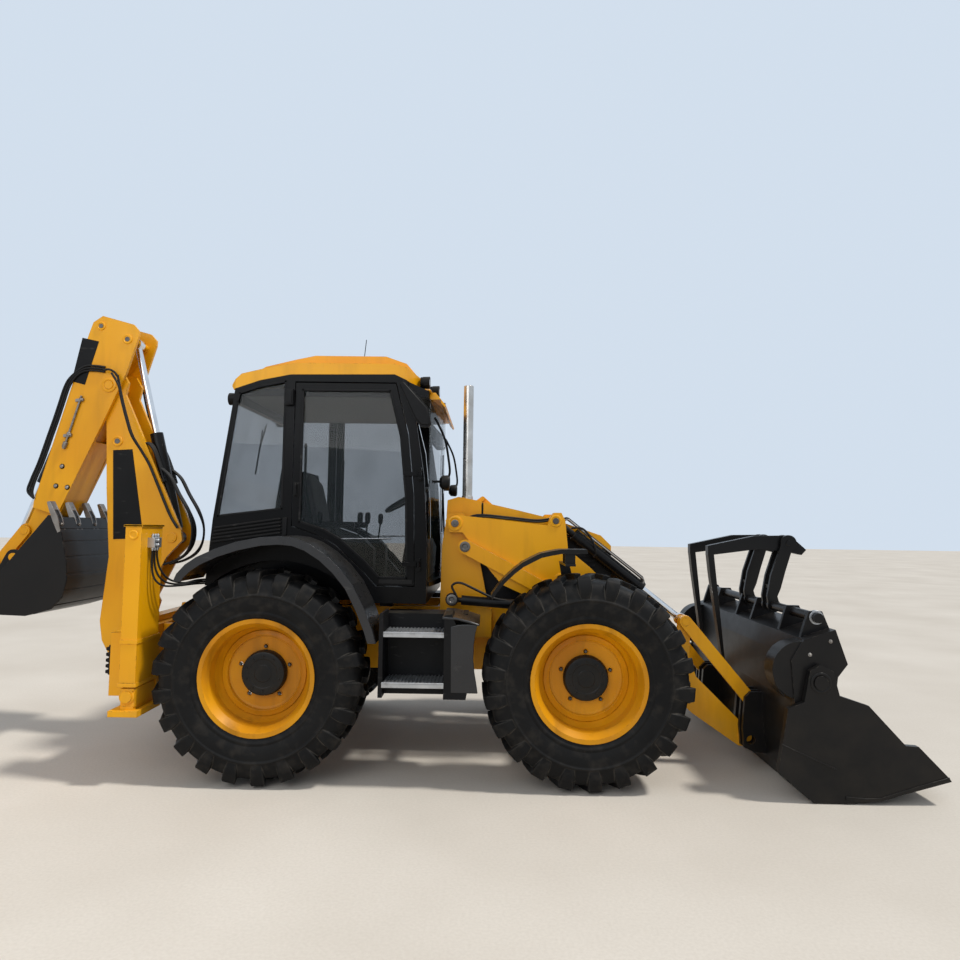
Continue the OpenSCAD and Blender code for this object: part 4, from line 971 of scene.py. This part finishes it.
    for t0, t1 in ((0.06, 0.74), (0.80, 1.28), (1.34, 1.80), (1.86, 2.6), (2.72, 3.5), (3.6, 4.6),
                   (4.7, 5.7)):
        steps = [t0] + [t for t in range(1, 6) if t0 < t < t1] + [t1]
        plates.band([on_back(t) for t in steps], -386, 386, 9)
    plates.done(2)
    teeth = Piece("bucket_teeth", "digging_bucket", STEEL, "chrome")
    cheek = [(-1945, 1886), (-1922, 1896), (-1860, 1782), (-1826, 1664), (-1850, 1652),
             (-1890, 1735), (-1916, 1800)]
    tip = [(-1947, 1893), (-1924, 1900), (-1890, 1834), (-1912, 1800), (-1922, 1826)]
    for i in range(TEETH):
        y = -355 + i * 710 / (TEETH - 1)
        for outline, y0, y1 in ((cheek, -36, -24), (cheek, 24, 36), (tip, -34, 34)):
            teeth.prism(outline, y + y0, y + y1)
        teeth.bolt(at(-1838, y, 1718), (1, 0, 0.15), 10, 7)
    teeth.done(2.5)


def stabilisers():
    """Eyes, end plates, valve blocks and hoses of the stabiliser cases, and the feet's bosses."""
    for side in SIDES:
        tag = TAGS[side]
        eye = Piece("case_eye_" + tag, "chassis", YELLOW, "yellow")
        eye.boss(at(-850, side * 1170, 1660), (0, side, 0), 34, 9, 0.5)
        eye.prism([(-914, 1713), (-914, 1728), (-786, 1728), (-786, 1713)],
                  *span(side, 862, 1178))
        eye.prism([(-912, 650), (-912, 676), (-788, 676), (-788, 650)], *span(side, 1166, 1178))
        eye.done(3)
        valve = Piece("case_valve_" + tag, "chassis", GALVANISED, "chrome")
        lo, hi = span(side, 985, 1085)
        valve.brick((-797, lo, 1572), (-744, hi, 1640))
        for z in (1590, 1622):
            valve.revolve(at(-746, side * 1050, z), at(-728, side * 1050, z), [
                (0, 13), (12, 13), (15, 9), (18, 9), (18, 2)], 6)
        for y in (1000, 1035, 1070):
            valve.revolve(at(-766, side * y, 1574), at(-766, side * y, 1550), [
                (0, 13), (16, 13), (16, 9), (24, 9)], 6)
            valve.revolve(at(-766, side * y, 1638), at(-766, side * y, 1668), [
                (0, 12), (20, 12), (24, 7), (30, 2)], 12)
        valve.done(2)
        for k in range(3):
            y = 1070 - 35 * k
            drop = 34 * (2 - k)
            pipe(f"case_hose_{tag}_{k}", "chassis", [
                (-766, side * y, 1560), (-764, side * y, 1500 - drop),
                (-742, side * (y - 8), 1420 - drop), (-700, side * (y - 50), 1350 - drop * 0.6),
                (-640, side * (y - 150), 1316 - drop * 0.2),
                (-580, side * (810 - 20 * k), 1306 + 12 * k),
                (-524, side * (732 - 8 * k), 1306 + 14 * k)], CASE_HOSE_R)
        comb = Piece("end_comb_" + tag, "chassis", BLACK, "black_paint")
        prongs = [
            (x, z - 40 * i) for i in range(5)
            for x, z in ((-1142, 862), (-1162, 856), (-1162, 836), (-1142, 830))]
        comb.prism([(-1128, 664), (-1128, 872), (-1142, 872)] + prongs + [(-1142, 664)],
                   *span(side, 841, 867))
        comb.done(1.5)
        leg = "stabiliser_left" if side > 0 else "stabiliser_right"
        foot = Piece("foot_boss_" + tag, leg, YELLOW, "yellow")
        foot.boss(at(-850, side * 1160, 587), (0, side, 0), 52, 9, 0.55)
        foot.band([(-893, 632), (-800, 632)], *span(side, 1158, 1166), 14)
        foot.done(2)


def side_panels():
    """Black panels that close the space between the steps and the front tyres."""
    panels = Piece("side_panels", "chassis", FENDER, "black_paint")
    for side in SIDES:
        outer = [
            (1298, 642), (1292, 1080), (1340, 1092), (1410, 1096), (1472, 1090), (1458, 1030),
            (1450, 960), (1448, 860), (1456, 780), (1470, 705), (1480, 642)]
        lid = [
            (1236, 1126), (1236, 1146), (1330, 1138), (1420, 1118), (1488, 1096), (1484, 1084),
            (1410, 1104), (1330, 1122)]
        inner = [(1404, 660), (1404, 1100), (1446, 1094), (1432, 960), (1428, 800), (1436, 660)]
        panels.prism(outer, *span(side, 1134, 1151))
        panels.prism(lid, *span(side, 640, 1152))
        panels.prism(inner, *span(side, 640, 840))
    panels.done(9)


STEP_BARS = 16


def steps():
    """Treads of both steps on each side, with their bars and front edges."""
    tread = Piece("step_treads", "chassis", GALVANISED, "chrome")
    for side in SIDES:
        for z, y_out in ((1023, 1122), (695, 1152)):
            lo, hi = span(side, 885, y_out)
            tread.brick((842, lo, z), (1248, hi, z + 4))
            for i in range(STEP_BARS):
                x = 852 + i * 25
                tread.brick((x, lo + 8, z + 3), (x + 10, hi - 4, z + 11))
            edge_lo, edge_hi = span(side, y_out - 6, y_out)
            tread.brick((838, edge_lo, z - 24), (1252, edge_hi, z + 12))
    tread.done(1)


# Scene

FLOOR_HALF = 60


def stage():
    """Plain pale floor."""
    n = Nodes("pale_floor")
    tone = n.mix(n.ramp(n.noise(0.6, 5), 0.3, 0.7), srgb(214, 208, 198), srgb(200, 193, 182))
    grit = n.ramp(n.noise(60, 5), 0.35, 0.75)
    n.shade("Base Color", n.mix(n.math("MULTIPLY", grit, 0.25), tone, srgb(176, 168, 156)))
    n.bsdf.inputs["Roughness"].default_value = 0.9
    n.bump(n.noise(40, 6), 0.15, 0.002)
    mesh = bpy.data.meshes.new("floor")
    s = FLOOR_HALF
    mesh.from_pydata([(-s, -s, 0), (s, -s, 0), (s, s, 0), (-s, s, 0)], [], [(0, 1, 2, 3)])
    mesh.materials.append(n.mat)
    floor = show("floor", mesh)
    floor.location.z = -0.0015


def aim(obj, way):
    """turns a light so that it shines along way"""
    obj.rotation_mode = "QUATERNION"
    obj.rotation_quaternion = way.to_track_quat("-Z", "Y")


def light():
    """Pale sky that the camera, reflections and glass see, a weaker fill, a sun and a softbox."""
    world = bpy.data.worlds.new("studio")
    bpy.context.scene.world = world
    world.use_nodes = True
    tree = world.node_tree
    tree.nodes.clear()
    out = tree.nodes.new("ShaderNodeOutputWorld")

    def background(colour, strength):
        node = tree.nodes.new("ShaderNodeBackground")
        node.inputs["Color"].default_value = colour
        node.inputs["Strength"].default_value = strength
        return node.outputs[0]

    fill = background((0.86, 0.91, 1.0, 1), 0.5)
    sky = background((0.72, 0.82, 0.94, 1), 0.9)
    path = tree.nodes.new("ShaderNodeLightPath")
    sees_sky = path.outputs["Is Camera Ray"]
    for ray in ("Is Glossy Ray", "Is Transmission Ray"):
        either = tree.nodes.new("ShaderNodeMath")
        either.operation = "MAXIMUM"
        tree.links.new(sees_sky, either.inputs[0])
        tree.links.new(path.outputs[ray], either.inputs[1])
        sees_sky = either.outputs[0]
    mix = tree.nodes.new("ShaderNodeMixShader")
    for source, socket in zip((sees_sky, fill, sky), mix.inputs):
        tree.links.new(source, socket)
    tree.links.new(mix.outputs[0], out.inputs["Surface"])

    sun = show("sun", bpy.data.lights.new("sun", "SUN"))
    sun.data.energy = 2.4
    sun.data.angle = math.radians(6)
    sun.data.color = (1.0, 0.96, 0.90)
    aim(sun, Vector((-0.55, 0.12, -0.95)))
    soft = show("softbox", bpy.data.lights.new("softbox", "AREA"))
    soft.data.energy = 290
    soft.data.size = 7
    soft.location = (-3.5, -9.0, 6.5)
    aim(soft, Vector((0, 0, 1.2)) - soft.location)


FOCAL_PX = 700
PHOTO_PX = 960
SENSOR_MM = 36
CAMERA_AT = (1537, -5866, 1754)
CAMERA_YAW = -0.013
CAMERA_PITCH = 0.065
CAMERA_ROLL = 0.014


def camera():
    """Camera at the photograph's place, fitted to 19 of its points; angles are in radians."""
    yaw, pitch, roll = CAMERA_YAW, CAMERA_PITCH, CAMERA_ROLL
    ahead = Vector((math.sin(yaw) * math.cos(pitch), math.cos(yaw) * math.cos(pitch), math.sin(pitch)))
    level = Vector((math.cos(yaw), -math.sin(yaw), 0))
    upright = level.cross(ahead)
    right = level * math.cos(roll) + upright * math.sin(roll)
    up = -level * math.sin(roll) + upright * math.cos(roll)
    data = bpy.data.cameras.new("camera")
    data.sensor_width = SENSOR_MM
    data.lens = SENSOR_MM * FOCAL_PX / PHOTO_PX
    obj = show("camera", data)
    turn = Matrix((right, up, -ahead)).transposed().to_4x4()
    obj.matrix_world = Matrix.Translation(at(*CAMERA_AT)) @ turn
    bpy.context.scene.camera = obj


camera()
dress_nodes()
for axle, x in AXLE_X.items():
    for side in SIDES:
        wheel = axle + TAGS[side]
        tyre(wheel, x, side)
        wheel_trim(wheel, x, side)
cab()
inside()
seat()
hood_trim()
loader()
shovel()
digger()
stabilisers()
steps()
side_panels()
stage()
light()
bpy.context.scene.view_settings.view_transform = "Standard"
